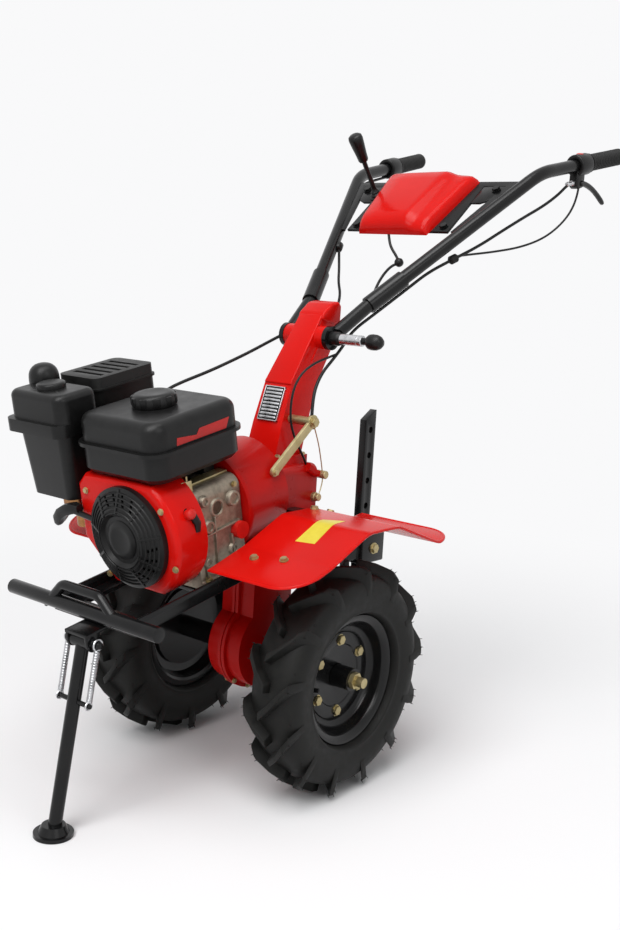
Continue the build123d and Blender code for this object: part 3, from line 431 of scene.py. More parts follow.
# control cables, routes as in the solids; the two that cross the tilting hub are baked in place on no body
cableRadius = 3.0
wireRadius = 2.2
clutchRoute = [
    (-639.4, 236, 1117), (-623, 234.6, 1113.5), (-598, 227.5, 1090), (-560, 216, 1064), (-514, 200, 1038),
    (-464, 182, 1007.5), (-412, 162, 974), (-358, 141, 946), (-306, 120.5, 918), (-265.5, 104.5, 886),
    (-201.5, 75.2, 833.5), (-158, 63.5, 804.5), (-133, 64.8, 781.5), (-121.8, 65.6, 770.9),
    (-95, 68, 750.5), (-60, 73.5, 729), (-37, 78, 704), (-26, 82, 676), (-22.5, 85, 652)]
throttleRoute = [
    (-644, -236.5, 1134.2), (-592, -231, 1122), (-535, -226, 1105), (-485, -205, 1070),
    (-423, -175.7, 1016), (-360.7, -147.5, 968.5), (-312, -125.3, 925), (-265.5, -104.5, 886),
    (-201.5, -75.2, 833.5), (-160, -66.5, 807), (-136, -70.3, 794.8), (-118, -73.5, 786),
    (-86, -77.5, 773), (-48, -82, 757), (-12, -88, 742), (50, -101, 717), (108, -117, 696),
    (140, -122.5, 682), (163, -124, 660), (178.5, -124.5, 628), (191, -124, 595)]
stopRoute = [
    (-652, 243.6, 1111), (-652, 242, 1086), (-638, 231, 1046), (-599, 210, 1006), (-535, 190, 981),
    (-457, 168, 966), (-392, 148, 956.5), (-361, 141.5, 951.5)]
loopRoute = [
    (-108, 66.8, 760.4), (-84, 64, 753.5), (-55, 60, 745), (-27, 54, 728), (-11, 50, 702), (-6, 48.5, 671),
    (-6, 50, 640), (-15, 53, 612), (-30, 56, 588), (-45, 57.5, 566), (-50, 57.5, 555)]
tieSpot = dict(start=(-367, 144.5, 950.7), end=(-351, 138.2, 942.4), radius=8.5)


def buildCables():
    # name, route, nodes that it stands for, points where it crosses the hub
    for name, route, stands, start, end in (
            ("clutchCable", clutchRoute, ("clutch_cable_upper", "clutch_cable_lower"), 11, 14),
            ("throttleCable", throttleRoute, ("throttle_cable_upper", "throttle_cable_lower"), 9, 12)):
        points = [fromAxle(*point) for point in route]
        piece = dressed(name, cableMesh(name, points, cableRadius), plasticSlot, 50)
        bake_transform(piece)
        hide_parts(*stands)
    for name, route, body in (("stopWire", stopRoute, "handlebar"), ("stopLoop", loopRoute, "chassis")):
        mesh = cableMesh(name, [fromAxle(*point) for point in route], wireRadius)
        addPiece(name, mesh, body, plasticSlot, (), 50)
    start = fromAxle(*tieSpot["start"])
    aim = fromAxle(*tieSpot["end"]) - start
    length = aim.length * 1000
    r = tieSpot["radius"]
    profile = [(0, r * 0.5), (1, r * 0.8), (3, r),
               (length - 3, r), (length - 1, r * 0.8), (length, r * 0.5)]
    addPiece("cableTie", lathed("cableTie", profile, start, aim, 24), "handlebar", rubberSlot)


buildCables()
print("cables laid")

# cast, pressed and moulded pieces get the small edge radius that the tool or the press leaves
edgeRadii = dict(
    handle_column=5.0, upper_case=3.0, lower_casing=1.5, muffler=2.0, hitch_bracket=3.0,
    depth_bar=1.0, console_plate=1.2, crankcase=4.0, fan_shroud=3.0, clutch_rocker=1.0, stand_bracket=1.5,
    carburettor=2.0, governor_plate=0.8, air_cleaner=1.5, stop_switch=3.0,
    throttle_control=3.0, engine_cradle=1.5, front_bumper=1.5, left_fender=1.0, right_fender=1.0)
softForm = dict(weld=0.02, flatDeg=1.0, segments=3, cornerDeg=40, smoothDeg=30)


def softened(nodeName, radiusMm):
    source = nodes[nodeName]
    mesh = source.data.copy()
    if "custom_normal" in mesh.attributes:
        mesh.attributes.remove(mesh.attributes["custom_normal"])
    form = bmesh.new()
    form.from_mesh(mesh)
    bmesh.ops.remove_doubles(form, verts=form.verts, dist=softForm["weld"] / 1000)
    bmesh.ops.dissolve_limit(form, angle_limit=math.radians(softForm["flatDeg"]),
                             verts=form.verts, edges=form.edges)
    form.to_mesh(mesh)
    form.free()
    baked = bevelled(mesh, radiusMm, softForm["segments"], softForm["cornerDeg"])
    slot = (slotOf[nodeName], finishOf(nodeName))
    addPiece(nodeName + "Soft", baked, source["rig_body"], slot, [nodeName], softForm["smoothDeg"])


for nodeName, radiusMm in edgeRadii.items():
    softened(nodeName, radiusMm)
print("edges softened on", len(edgeRadii), "nodes")


def geometryTree(name, sockets):
    tree = bpy.data.node_groups.new(name, "GeometryNodeTree")
    tree.interface.new_socket("Geometry", in_out="INPUT", socket_type="NodeSocketGeometry")
    tree.interface.new_socket("Geometry", in_out="OUTPUT", socket_type="NodeSocketGeometry")
    for label, kind in sockets.items():
        tree.interface.new_socket(label, in_out="INPUT", socket_type=kind)
    return tree, addNode(tree, "NodeGroupInput"), addNode(tree, "NodeGroupOutput")


def runTree(mesh, tree, settings):
    holder = linked(tree.name + "Holder", mesh)
    modifier = holder.modifiers.new("repeat", "NODES")
    modifier.node_group = tree
    for item in tree.interface.items_tree:
        if item.in_out == "INPUT" and item.name in settings:
            modifier[item.identifier] = settings[item.name]
    return bakedMesh(holder)


# the tree's end: instances made real, in the material that it is given
def closeTree(tree, given, result, copies):
    real = addNode(tree, "GeometryNodeRealizeInstances", links={"Geometry": (copies, "Instances")})
    painted = addNode(tree, "GeometryNodeSetMaterial", links={
        "Geometry": (real, "Geometry"), "Material": (given, "Material")})
    tree.links.new(painted.outputs["Geometry"], result.inputs["Geometry"])
    return tree


# copies of the given mesh turned about the Y direction through the origin
def makeRingTree():
    tree, given, result = geometryTree("ringOfCopies", {
        "Count": "NodeSocketInt", "Material": "NodeSocketMaterial"})
    spots = addNode(tree, "GeometryNodeMeshLine", {"Offset": (0, 0, 0)}, {"Count": (given, "Count")})
    index = addNode(tree, "GeometryNodeInputIndex")
    share = mathNode(tree, "DIVIDE", (index, "Index"), (given, "Count"))
    angle = mathNode(tree, "MULTIPLY", (share, "Value"), 2 * math.pi)
    turn = addNode(tree, "ShaderNodeCombineXYZ", links={"Y": (angle, "Value")})
    copies = addNode(tree, "GeometryNodeInstanceOnPoints", links={
        "Points": (spots, "Mesh"), "Instance": (given, "Geometry"), "Rotation": (turn, "Vector")})
    return closeTree(tree, given, result, copies)


# shares of the head's width at its corners and on its crown, thickness of washer and crown in metres
hexForm = dict(corner=0.577, crown=0.46, washerDepth=0.003, crownDepth=0.0008)


# hexagon heads on washers, at points that carry an aim and a size
def makeFastenerTree():
    tree, given, result = geometryTree("hexFasteners", {
        "Head width": "NodeSocketFloat", "Head height": "NodeSocketFloat",
        "Washer width": "NodeSocketFloat", "Material": "NodeSocketMaterial"})
    aim = addNode(tree, "GeometryNodeInputNamedAttribute", {"Name": "aim"}, data_type="FLOAT_VECTOR")
    size = addNode(tree, "GeometryNodeInputNamedAttribute", {"Name": "size"}, data_type="FLOAT")
    corner = mathNode(tree, "MULTIPLY", (given, "Head width"), hexForm["corner"])
    crown = mathNode(tree, "MULTIPLY", (given, "Head width"), hexForm["crown"])
    disc = mathNode(tree, "MULTIPLY", (given, "Washer width"), 0.5)
    half = mathNode(tree, "MULTIPLY", (given, "Head height"), 0.5)
    washer = addNode(tree, "GeometryNodeMeshCylinder",
                     {"Vertices": 20, "Depth": hexForm["washerDepth"]}, {"Radius": (disc, "Value")})
    head = addNode(tree, "GeometryNodeMeshCylinder", {"Vertices": 6},
                   {"Radius": (corner, "Value"), "Depth": (given, "Head height")})
    top = addNode(tree, "GeometryNodeMeshCylinder",
                  {"Vertices": 16, "Depth": hexForm["crownDepth"]}, {"Radius": (crown, "Value")})
    headLift = addNode(tree, "ShaderNodeCombineXYZ", links={"Z": (half, "Value")})
    topLift = addNode(tree, "ShaderNodeCombineXYZ", links={"Z": (given, "Head height")})
    whole = addNode(tree, "GeometryNodeJoinGeometry", links={"Geometry": (washer, "Mesh")})
    for form, lift in ((head, headLift), (top, topLift)):
        raised = addNode(tree, "GeometryNodeTransform", links={
            "Geometry": (form, "Mesh"), "Translation": (lift, "Vector")})
        tree.links.new(raised.outputs["Geometry"], whole.inputs["Geometry"])
    turn = addNode(tree, "FunctionNodeAlignRotationToVector",
                   links={"Vector": (aim, "Attribute")}, axis="Z")
    copies = addNode(tree, "GeometryNodeInstanceOnPoints", links={
        "Points": (given, "Geometry"), "Instance": (whole, "Geometry"), "Rotation": (turn, "Rotation"),
        "Scale": (size, "Attribute")})
    return closeTree(tree, given, result, copies)


ringTree = makeRingTree()
fastenerTree = makeFastenerTree()
eightMm = {"Head width": 0.013, "Head height": 0.0055, "Washer width": 0.018}


def addFasteners(name, spots, body, slot):
    mesh = bpy.data.meshes.new(name)
    mesh.from_pydata([place for place, aim, size in spots], [], [])
    aims = mesh.attributes.new("aim", "FLOAT_VECTOR", "POINT")
    aims.data.foreach_set("vector", [value for place, aim, size in spots for value in aim.normalized()])
    sizes = mesh.attributes.new("size", "FLOAT", "POINT")
    sizes.data.foreach_set("value", [size for place, aim, size in spots])
    baked = runTree(mesh, fastenerTree, {**eightMm, "Material": slot[1]})
    return addPiece(name, baked, body, slot, (), 25)


# tyres: rounded carcass, swept lugs in two staggered rows, moulding whiskers at the shoulders
tyreForm = dict(track=195, lugCount=13, sweepDeg=15, lugTaper=2.2, lugEdge=1.8)
carcassHalf = [(0, 189.5), (24, 188), (41, 181), (47, 170), (49.5, 156), (47.5, 140), (44.5, 128),
               (45, 123), (41, 120), (33.5, 117.4), (27, 117.2)]
# across the tread, top, root, share of the sweep, half width
lugRows = ((-5, 207.3, 176, 0.0, 9.5), (18, 207, 176, 0.42, 8.6), (38, 204.5, 174, 0.9, 8.6),
           (46.5, 195, 162, 1.12, 8.4), (49.8, 172, 152, 1.24, 7.0))


def lugMesh(flip):
    verts = []
    taper = tyreForm["lugTaper"]
    for across, top, root, share, half in lugRows:
        angle = math.radians(tyreForm["sweepDeg"] * share)
        for radius, offset in ((root, -half), (root, half), (top, half - taper), (top, taper - half)):
            turn = angle + offset / radius
            verts.append(Vector((radius * math.sin(turn), flip * across, -radius * math.cos(turn))) / 1000)
    ends = [[0, 1, 2, 3], [len(verts) - 4 + i for i in range(4)]]
    lug = closedMesh("lug", verts, ends + ringFaces(len(lugRows), 4))
    return bevelled(lug, tyreForm["lugEdge"], 2, 25)


# spots: across the tread, radius, degrees round from the lug's start
whiskerForm = dict(lean=0.9, hair=((-1, 0.9), (2.5, 0.6), (5.5, 0)), spots=(
    (37.5, 203, 11.4), (38, 203, 15.8), (46.5, 192, 14.6), (46.5, 192, 19), (42, 178, 24)))


def whiskerMesh(flip):
    hairs = []
    for across, radius, degrees in whiskerForm["spots"]:
        turn = math.radians(degrees)
        spoke = Vector((math.sin(turn), 0, -math.cos(turn)))
        start = spoke * radius / 1000 + Vector((0, flip * across / 1000, 0))
        lean = spoke + Vector((0, flip * whiskerForm["lean"], 0))
        hairs.append(lathed("hair", whiskerForm["hair"], start, lean, 6))
    return joined("whiskers", hairs)


def buildTyre(name, side):
    centre = axleSpot + Vector((0, side * tyreForm["track"] / 1000, 0))
    loop = eased(carcassHalf + [(-w, r) for w, r in reversed(carcassHalf[1:])], True)
    carcass = turnedLoop("carcass", loop, 96, centre)
    rows = []
    stagger = Matrix.Rotation(math.pi / tyreForm["lugCount"], 4, "Y")
    for flip in (1, -1):
        for made in (lugMesh(side * flip), whiskerMesh(side * flip)):
            row = runTree(made, ringTree, {"Count": tyreForm["lugCount"], "Material": tyreRubber})
            if flip < 0:
                row.transform(stagger)
            row.transform(Matrix.Translation(centre))
            rows.append(row)
    addPiece(name, joined(name, [carcass] + rows), "axle", tyreSlot, [name.replace("Tyre", "_tyre")], 32)


buildTyre("leftTyre", 1)
buildTyre("rightTyre", -1)
print("tyres made")

# rims: pressed disc with a swaged ring, rolled lips; six bolts, a valve stem, a bolt in the axle's end
rimLoop = [(33, 116), (33, 112), (29, 101), (20, 98), (6, 95), (0, 88), (-1, 80), (2.5, 77), (2.5, 58),
           (-1, 54), (-1, 21), (-6, 21), (-6, 90), (-20, 97), (-33, 101), (-33, 116), (-29, 116),
           (-27, 104), (27, 104), (29, 116)]
rimBolts = dict(count=6, circle=65, face=195.6, size=1.15, tip=239, tipSize=1.1)
stemForm = dict(ahead=98, out=6, lean=-0.5,
                profile=((0, 3.2), (14, 3.2), (15, 4), (24, 4), (25, 3), (25.5, 0)))


def buildRim(name, side):
    outward = Vector((0, side, 0))
    centre = axleSpot + Vector((0, side * tyreForm["track"] / 1000, 0))
    loop = [(side * w, r) for w, r in eased(rimLoop, True, 1)]
    rim = turnedLoop(name, loop, 72, centre)
    stemSpot = centre + Vector((stemForm["ahead"] / 1000, side * stemForm["out"] / 1000, 0))
    stem = lathed("stem", stemForm["profile"], stemSpot, Vector((stemForm["lean"], side, 0)), 14)
    addPiece(name, joined(name, [rim, stem]), "axle", blackSlot, [name.replace("Rim", "_rim")], 32)
    spots = []
    for bolt in range(rimBolts["count"]):
        angle = 2 * math.pi * (bolt + 0.5) / rimBolts["count"]
        spoke = Vector((math.cos(angle), 0, math.sin(angle))) * rimBolts["circle"] / 1000
        place = axleSpot + spoke + Vector((0, side * rimBolts["face"] / 1000, 0))
        spots.append((place, outward, rimBolts["size"]))
    tip = axleSpot + Vector((0, side * rimBolts["tip"] / 1000, 0))
    spots.append((tip, outward, rimBolts["tipSize"]))
    addFasteners(name + "Bolts", spots, "axle", zincSlot)


buildRim("leftRim", 1)
buildRim("rightRim", -1)
print("rims made")

# stand springs: close-wound coils with a ring at the pin and a hook at the leg
springForm = dict(turns=38, perTurn=10, coil=4.4, wire=0.85, core=3.6, ring=8.6, ringWire=1.7, hookLess=2.6,
                  side=35, topGap=9.5, endGaps=15.5)
standPin = (412.84, 310.68)
standSlope = (15.45, -96.0)


def buildSprings():
    ring, thick = springForm["ring"], springForm["ringWire"]
    turns = [step * math.pi / 4 for step in range(8)]
    section = [(thick * math.sin(turn), ring + thick * math.cos(turn)) for turn in turns]
    hook = [(w, r - springForm["hookLess"]) for w, r in section]
    steps = springForm["turns"] * springForm["perTurn"]
    meshes = []
    for side in (1, -1):
        y = side * springForm["side"]
        top = fromAxle(standPin[0], y, standPin[1])
        low = fromAxle(standPin[0] + standSlope[0], y, standPin[1] + standSlope[1])
        line = low - top
        aim = line.normalized()
        other = aim.cross(leftward)
        start = top + aim * (springForm["topGap"] / 1000)
        length = line.length - springForm["endGaps"] / 1000
        points = []
        for step in range(steps + 1):
            angle = 2 * math.pi * step / springForm["perTurn"]
            spoke = (leftward * math.cos(angle) + other * math.sin(angle)) * springForm["coil"] / 1000
            points.append(start + aim * length * step / steps + spoke)
        meshes.append(cableMesh("coil", points, springForm["wire"], 1))
        core = [(0, springForm["core"]), (length * 1000, springForm["core"])]
        meshes.append(lathed("core", core, start, aim, 12))
        meshes.append(turnedLoop("ring", section, 32, top))
        meshes.append(turnedLoop("hook", hook, 28, low))
    addPiece("standSprings", joined("standSprings", meshes), "stand", brightSlot, ["stand_springs"], 40)


buildSprings()

# grips: moulded ribs between a flange and a closed end
gripForm = dict(end=(-797.2, 254.4, 1187.0), run=(-270.7, 31.6, 61.6), length=118, cap=5, radius=17.4,
                bore=13.2, flange=2.5, ribs=17, ribSpan=(8, 110),
                ribShape=((0, 1.6), (0.22, 0.1), (0.68, 0.1), (0.9, 1.6)))


def buildGrip(name, side):
    x, y, z = gripForm["end"]
    aim = Vector(gripForm["run"]).normalized()
    aim.y *= side
    start = fromAxle(x, side * y, z) - aim * gripForm["length"] / 1000
    r = gripForm["radius"]
    flange = r + gripForm["flange"]
    profile = [(0, gripForm["bore"]), (0.3, flange), (4, flange), (6, r - 1)]
    first, last = gripForm["ribSpan"]
    pitch = (last - first) / gripForm["ribs"]
    for rib in range(gripForm["ribs"]):
        along = first + rib * pitch
        profile += [(along + pitch * share, r - drop) for share, drop in gripForm["ribShape"]]
    end = gripForm["length"] + gripForm["cap"]
    profile += [(end - 12, r), (end - 4, r), (end - 1, r - 2.5), (end - 0.2, r - 6), (end - 0.2, 0)]
    grip = lathed(name, profile, start, aim, 40)
    addPiece(name, grip, "handlebar", rubberSlot, [name.replace("Grip", "_grip")], 40)


buildGrip("leftGrip", 1)
buildGrip("rightGrip", -1)

# clutch lever: curved blade on its perch, with the cable's adjuster and the button of the switch beside it
leverSpine = [(-646, 236, 1118), (-672, 237, 1121), (-704, 238, 1119), (-736, 239, 1109),
              (-764, 239.5, 1095), (-779, 240, 1086)]
leverHalf = [(6.5, 5.5), (6.5, 6.0), (5.5, 5.0), (5.0, 4.4), (5.2, 4.8), (4.6, 4.6)]
leverPerch = dict(side=236, half=10, edge=3, outline=(
    (-640.5, 1146), (-640.5, 1111), (-652, 1106), (-668, 1111), (-672, 1124), (-672, 1146)))
leverPivot = dict(place=(-660, 222, 1118), profile=((0, 0), (0, 5), (2, 6), (26, 6), (28, 5), (28, 0)))
adjusterForm = dict(place=(-639.4, 236, 1117), aim=(16.4, -1.4, -3.5), profile=(
    (-3, 3.2), (0, 5.5), (5, 5.5), (5.5, 4), (15, 4), (15.5, 4.8), (22, 4.8), (23, 3.2)))
buttonForm = dict(place=(-656, 238, 1155), rise=17.5, aim=(0.2, 0.1, 1),
                  profile=((-2, 8), (3, 8), (5, 7), (6, 4), (6.2, 0)))


# a bar of oval section along a spine, half widths across and along its height
def sweptBar(name, spine, halves, across, sides=14):
    verts = []
    count = len(spine)
    for i, (point, (wide, high)) in enumerate(zip(spine, halves)):
        aim = (spine[min(i + 1, count - 1)] - spine[max(i - 1, 0)]).normalized()
        up = aim.cross(across).normalized()
        for step in range(sides):
            angle = 2 * math.pi * step / sides
            c, s = math.cos(angle), math.sin(angle)
            flat = (abs(c) ** 4 + abs(s) ** 4) ** -0.25
            verts.append(point + (across * c * wide + up * s * high) * flat / 1000)
    ends = [list(range(sides)), list(range((count - 1) * sides, count * sides))]
    return closedMesh(name, verts, ends + ringFaces(count, sides))


def buildLever():
    blade = sweptBar("blade", [fromAxle(*p) for p in leverSpine], leverHalf, leftward)
    holder = linked("bladeBlank", blade)
    rounding = holder.modifiers.new("round", "SUBSURF")
    rounding.levels = 1
    rounding.render_levels = 1
    blade = bakedMesh(holder)
    half = leverPerch["half"]
    middle = fromAxle(0, leverPerch["side"], 0)
    perch = slab("perch", leverPerch["outline"], -half, half, middle, forward, upward)
    perch = bevelled(perch, leverPerch["edge"])
    pivot = lathed("pivot", leverPivot["profile"], fromAxle(*leverPivot["place"]), leftward, 18)
    lever = joined("clutchLever", [blade, perch, pivot])
    addPiece("clutchLever", lever, "handlebar", plasticSlot, ["clutch_lever"], 40)
    adjuster = lathed("cableAdjuster", adjusterForm["profile"], fromAxle(*adjusterForm["place"]),
                      Vector(adjusterForm["aim"]), 20)
    addPiece("cableAdjuster", adjuster, "handlebar", brightSlot)
    spot = fromAxle(*buttonForm["place"]) + upward * (buttonForm["rise"] / 1000)
    button = lathed("stopButton", buttonForm["profile"], spot, Vector(buttonForm["aim"]), 24)
    addPiece("stopButton", button, "handlebar", capSlot)


buildLever()

# console hood: one moulding with a ridge beside its lower left wing, over a plate with rounded webs
hoodForm = dict(low=316, high=500, halfLow=82, halfHigh=106, base=5)
# share across from right to left, height
hoodAcross = [(-1.0, 5), (-0.985, 18), (-0.93, 31), (-0.84, 36), (-0.5, 38.5), (0.0, 40), (0.2, 40.5),
              (0.3, 41), (0.38, 41), (0.45, 39), (0.53, 34), (0.6, 30.5), (0.68, 29), (0.8, 28),
              (0.91, 26), (0.97, 19), (1.0, 5)]
# place along, share of the height
hoodAlong = [(0.0, 0.0), (0.0, 0.32), (0.012, 0.55), (0.05, 0.78), (0.11, 0.94), (0.2, 1.0), (0.5, 1.0),
             (0.8, 1.0), (0.92, 0.96), (0.975, 0.82), (0.995, 0.5), (1.0, 0.0)]
# levels above the handlebar's plane are negative here: along crossed with left points down
webForm = dict(levels=(-4.6, -0.6), edge=0.8, outline=(
    (428, 119), (488, 119), (488, 178), (452, 166), (436, 156), (428, 142)))


def buildConsole():
    verts = []
    base = hoodForm["base"]
    for along, share in hoodAlong:
        x = hoodForm["low"] + (hoodForm["high"] - hoodForm["low"]) * along
        half = hoodForm["halfLow"] + (hoodForm["halfHigh"] - hoodForm["halfLow"]) * along
        for across, height in hoodAcross:
            verts.append(onHandle(x, across * half, base + (height - base) * share))
    wide = len(hoodAcross)
    rows = len(hoodAlong)
    faces = []
    for row in range(rows - 1):
        for first in range(row * wide, row * wide + wide - 1):
            faces.append([first, first + 1, first + wide + 1, first + wide])
    rim = list(range(wide)) + [row * wide + wide - 1 for row in range(1, rows)]
    rim += [(rows - 1) * wide + i for i in range(wide - 2, -1, -1)]
    rim += [row * wide for row in range(rows - 2, 0, -1)]
    hood = closedMesh("consoleHood", verts, faces + [rim])
    addPiece("consoleHood", hood, "handlebar", redSlot, ["console_cover"], 50)
    low, high = webForm["levels"]
    webs = []
    for side in (1, -1):
        outline = [(u, side * v) for u, v in webForm["outline"]]
        web = slab("web", outline, low, high, onHandle(0, 0, 0), handleAlong, leftward)
        webs.append(bevelled(web, webForm["edge"]))
    addPiece("consoleWebs", joined("consoleWebs", webs), "handlebar", blackSlot)


buildConsole()

# shift lever: boot, rod and tapered knob
shiftForm = dict(along=448, side=-119, up=5, profile=(
    (0, 15), (2, 15), (5, 11), (8, 12), (11, 8.5), (14, 9.5), (17, 6.5), (22, 5), (86, 5), (87, 9),
    (90, 10.5), (104, 11.5), (126, 14), (138, 15), (144, 14), (147, 10), (148, 5), (148, 0)))
shiftStart = onHandle(shiftForm["along"], shiftForm["side"], shiftForm["up"])
shiftMesh = lathed("shiftLever", shiftForm["profile"], shiftStart, handleUp, 32)
addPiece("shiftLever", shiftMesh, "handlebar", plasticSlot, ["shift_lever"], 45)

# lock handle: black neck, slotted plated sleeve and ball-ended knob, with a nut at the bolt's far end
lockForm = dict(
    start=55.6, knobStart=125.5, nutStart=-55.5,
    neck=((0, 13), (14, 13), (19, 11.5), (22.5, 9.5), (22.5, 0)),
    sleeve=((21, 0), (21, 9), (22, 10), (58, 10), (58.5, 8.6), (61, 8.6), (61.5, 10), (69, 10), (70, 9),
            (70, 0)),
    knob=((0, 6.5), (9, 6.5), (10.5, 10), (15, 13.4), (21, 14.4), (30, 14), (37, 11.5), (42, 7), (43.6, 0)),
    nut=((0, 11), (8, 11), (10, 9), (10, 0)))


def buildLock():
    start, knobStart, nutStart = (fromAxle(hubSpot[0], lockForm[key], hubSpot[2])
                                  for key in ("start", "knobStart", "nutStart"))
    nut = lathed("farNut", lockForm["nut"], nutStart, -leftward, 6)
    sleeve = lathed("sleeve", lockForm["sleeve"], start, leftward, 32)
    addPiece("lockSleeve", joined("lockSleeve", [sleeve, nut]), "handlebar", brightSlot, ["lock_bolt"])
    neck = lathed("lockNeck", lockForm["neck"], start, leftward, 32)
    addPiece("lockNeck", neck, "handlebar", plasticSlot)
    knob = lathed("lockKnob", lockForm["knob"], knobStart, leftward, 32)
    addPiece("lockKnob", knob, "handlebar", plasticSlot, ["lock_knob"], 45)


buildLock()
print("handlebar fittings made")

# filler cap: skirt with grip ribs and a dished top
capForm = dict(ahead=117, side=-10, level=196, ribs=10, ribLevels=(2.5, 18), ribEdge=1.6,
               rib=((-7, 33), (7, 33), (5.5, 38), (-5.5, 38)),
               skirt=((0, 36), (3, 37), (16, 36), (20, 33), (22, 28), (21.5, 20), (20.5, 0)))


def buildCap():
    place = onEngine(capForm["ahead"], capForm["side"], capForm["level"])
    skirt = lathed("skirt", capForm["skirt"], place, engineAim(0, 0, 1), 60)
    low, high = capForm["ribLevels"]
    rib = bevelled(slab("rib", capForm["rib"], low, high, Vector(), forward, upward), capForm["ribEdge"])
    ribs = runTree(rib, ringTree, {"Count": capForm["ribs"], "Material": mouldedBlack})
    upright = enginePlace.to_3x3().to_4x4() @ Matrix.Rotation(math.radians(90), 4, "X")
    ribs.transform(Matrix.Translation(place) @ upright @ Matrix.Scale(-1, 4, leftward))
    ribs.flip_normals()
    addPiece("fillerCap", joined("fillerCap", [skirt, ribs]), "chassis", plasticSlot, ["tank_cap"], 40)


buildCap()

# recoil cover: raised rings down the cone, ribs across them and the hub plate
recoilForm = dict(front=208, rim=(10, 86), crown=(26, 46), rings=(50, 57, 64, 71, 78), ribs=9, ribHalf=2.2,
                  ribStart=0.3, ribEdge=0.7,
                  plate=((17, 33), (21, 33), (23, 30), (23.6, 22), (23, 20), (22.6, 0)))


def buildRecoil():
    ahead = engineAim(1, 0, 0)
    face = onEngine(recoilForm["front"], 0, 0)
    spread = engineTurn @ Matrix.Rotation(math.radians(-90), 4, "Z")
    lowAlong, lowRadius = recoilForm["rim"]
    highAlong, highRadius = recoilForm["crown"]
    forms = []
    for radius in recoilForm["rings"]:
        along = lowAlong + (highAlong - lowAlong) * (lowRadius - radius) / (lowRadius - highRadius)
        section = [(-2.5, radius - 1.9), (2, radius - 1.3), (2, radius + 1.3), (-2.5, radius + 1.9)]
        ring = turnedLoop("ring", eased(section, True, 1), 64, Vector())
        ring.transform(Matrix.Translation(face + ahead * along / 1000) @ spread)
        forms.append(ring)
    outline = [(lowRadius - 2, lowAlong - 2), (lowRadius - 2, lowAlong + 2.6),
               (highRadius + 1, highAlong + 1.6), (highRadius + 1, highAlong - 3)]
    half = recoilForm["ribHalf"]
    for rib in range(recoilForm["ribs"]):
        angle = 2 * math.pi * (rib + recoilForm["ribStart"]) / recoilForm["ribs"]
        out = engineAim(0, math.cos(angle), math.sin(angle))
        forms.append(bevelled(slab("rib", outline, -half, half, face, out, ahead), recoilForm["ribEdge"]))
    forms.append(lathed("hubPlate", recoilForm["plate"], face, ahead, 48))
    addPiece("recoilRings", joined("recoilRings", forms), "chassis", plasticSlot, (), 40)


buildRecoil()

# recoil handle: a fat curved grip on a short neck
pullForm = dict(neck=((217.5, -140, 25), (217.5, -70, 17)), neckRadius=5,
                spine=((217, -176, -7), (217, -171, 3), (217, -160, 15), (217, -144, 24), (217, -126, 29),
                       (217, -112, 30)),
                halves=((6, 6), (10, 9.5), (11, 10), (11, 10), (10.5, 9.5), (7, 6.5)))


def buildPullHandle():
    start, end = (onEngine(*point) for point in pullForm["neck"])
    neck = cableMesh("pullNeck", [start, (start + end) / 2, end], pullForm["neckRadius"])
    spine = [onEngine(*point) for point in pullForm["spine"]]
    grip = sweptBar("pullGrip", spine, pullForm["halves"], engineAim(1, 0, 0))
    addPiece("pullHandle", joined("pullHandle", [neck, grip]), "chassis", plasticSlot, ["pull_handle"], 45)


buildPullHandle()

# governor's idle lever in its slot on the shroud's shoulder
shroudLever = dict(slot=((176, 99, 50), (166, 104, 40), (160, 106, 26), (161, 105.5, 12)),
                   halves=((4, 5), (4.5, 6.5), (4.5, 6.5), (4, 5)),
                   place=(172, 100, 44), aim=(0.15, 0.95, 0.3),
                   knob=((0, 8), (4, 9), (9, 9), (12, 7.5), (13.5, 4), (13.8, 0)))


def buildShroudLever():
    spine = [onEngine(*point) for point in shroudLever["slot"]]
    slot = sweptBar("shroudSlot", spine, shroudLever["halves"], engineAim(0, 1, 0))
    addPiece("shroudSlot", slot, "chassis", plasticSlot)
    place = onEngine(*shroudLever["place"])
    knob = lathed("shroudKnob", shroudLever["knob"], place, engineAim(*shroudLever["aim"]), 28)
    addPiece("shroudKnob", knob, "chassis", capSlot)


buildShroudLever()

# air cleaner's lid nut and breather dome
cleanerNut = dict(place=(187.5, -181, 224), profile=[
    (0, 24.6), (7, 24.6), (9.5, 22.5), (10.4, 16), (10.4, 0)])
cleanerDome = dict(place=(157, -238, 224), profile=[
    (-14, 26.2), (6, 26.2), (16, 24.6), (24, 19.5), (29, 11.5), (30.4, 0)])


def buildCleanerTop():
    forms = []
    for form in (cleanerNut, cleanerDome):
        profile = eased(form["profile"], False, 1)
        forms.append(lathed("form", profile, onEngine(*form["place"]), engineAim(0, 0, 1), 48))
    addPiece("cleanerTop", joined("cleanerTop", forms), "chassis", plasticSlot, (), 40)


buildCleanerTop()

# column head: pressed front sheet, crown cap and a bead down each side
headSheet = dict(low=(-25, 0, 702), high=(-111, 0, 828), halves=(31.8, 26.4), sink=-4, stand=3.2, edge=2.2)
headCrown = dict(half=30.5, edge=5, outline=(
    (-105, 820), (-109, 832), (-134, 851), (-154, 854.5), (-162, 846), (-161, 814), (-136, 813)))
headBead = dict(low=(-79, 29.2, 740), high=(-121, 26.6, 809), half=2.4, tip=0.5, shares=(0, 0.04, 0.96, 1))


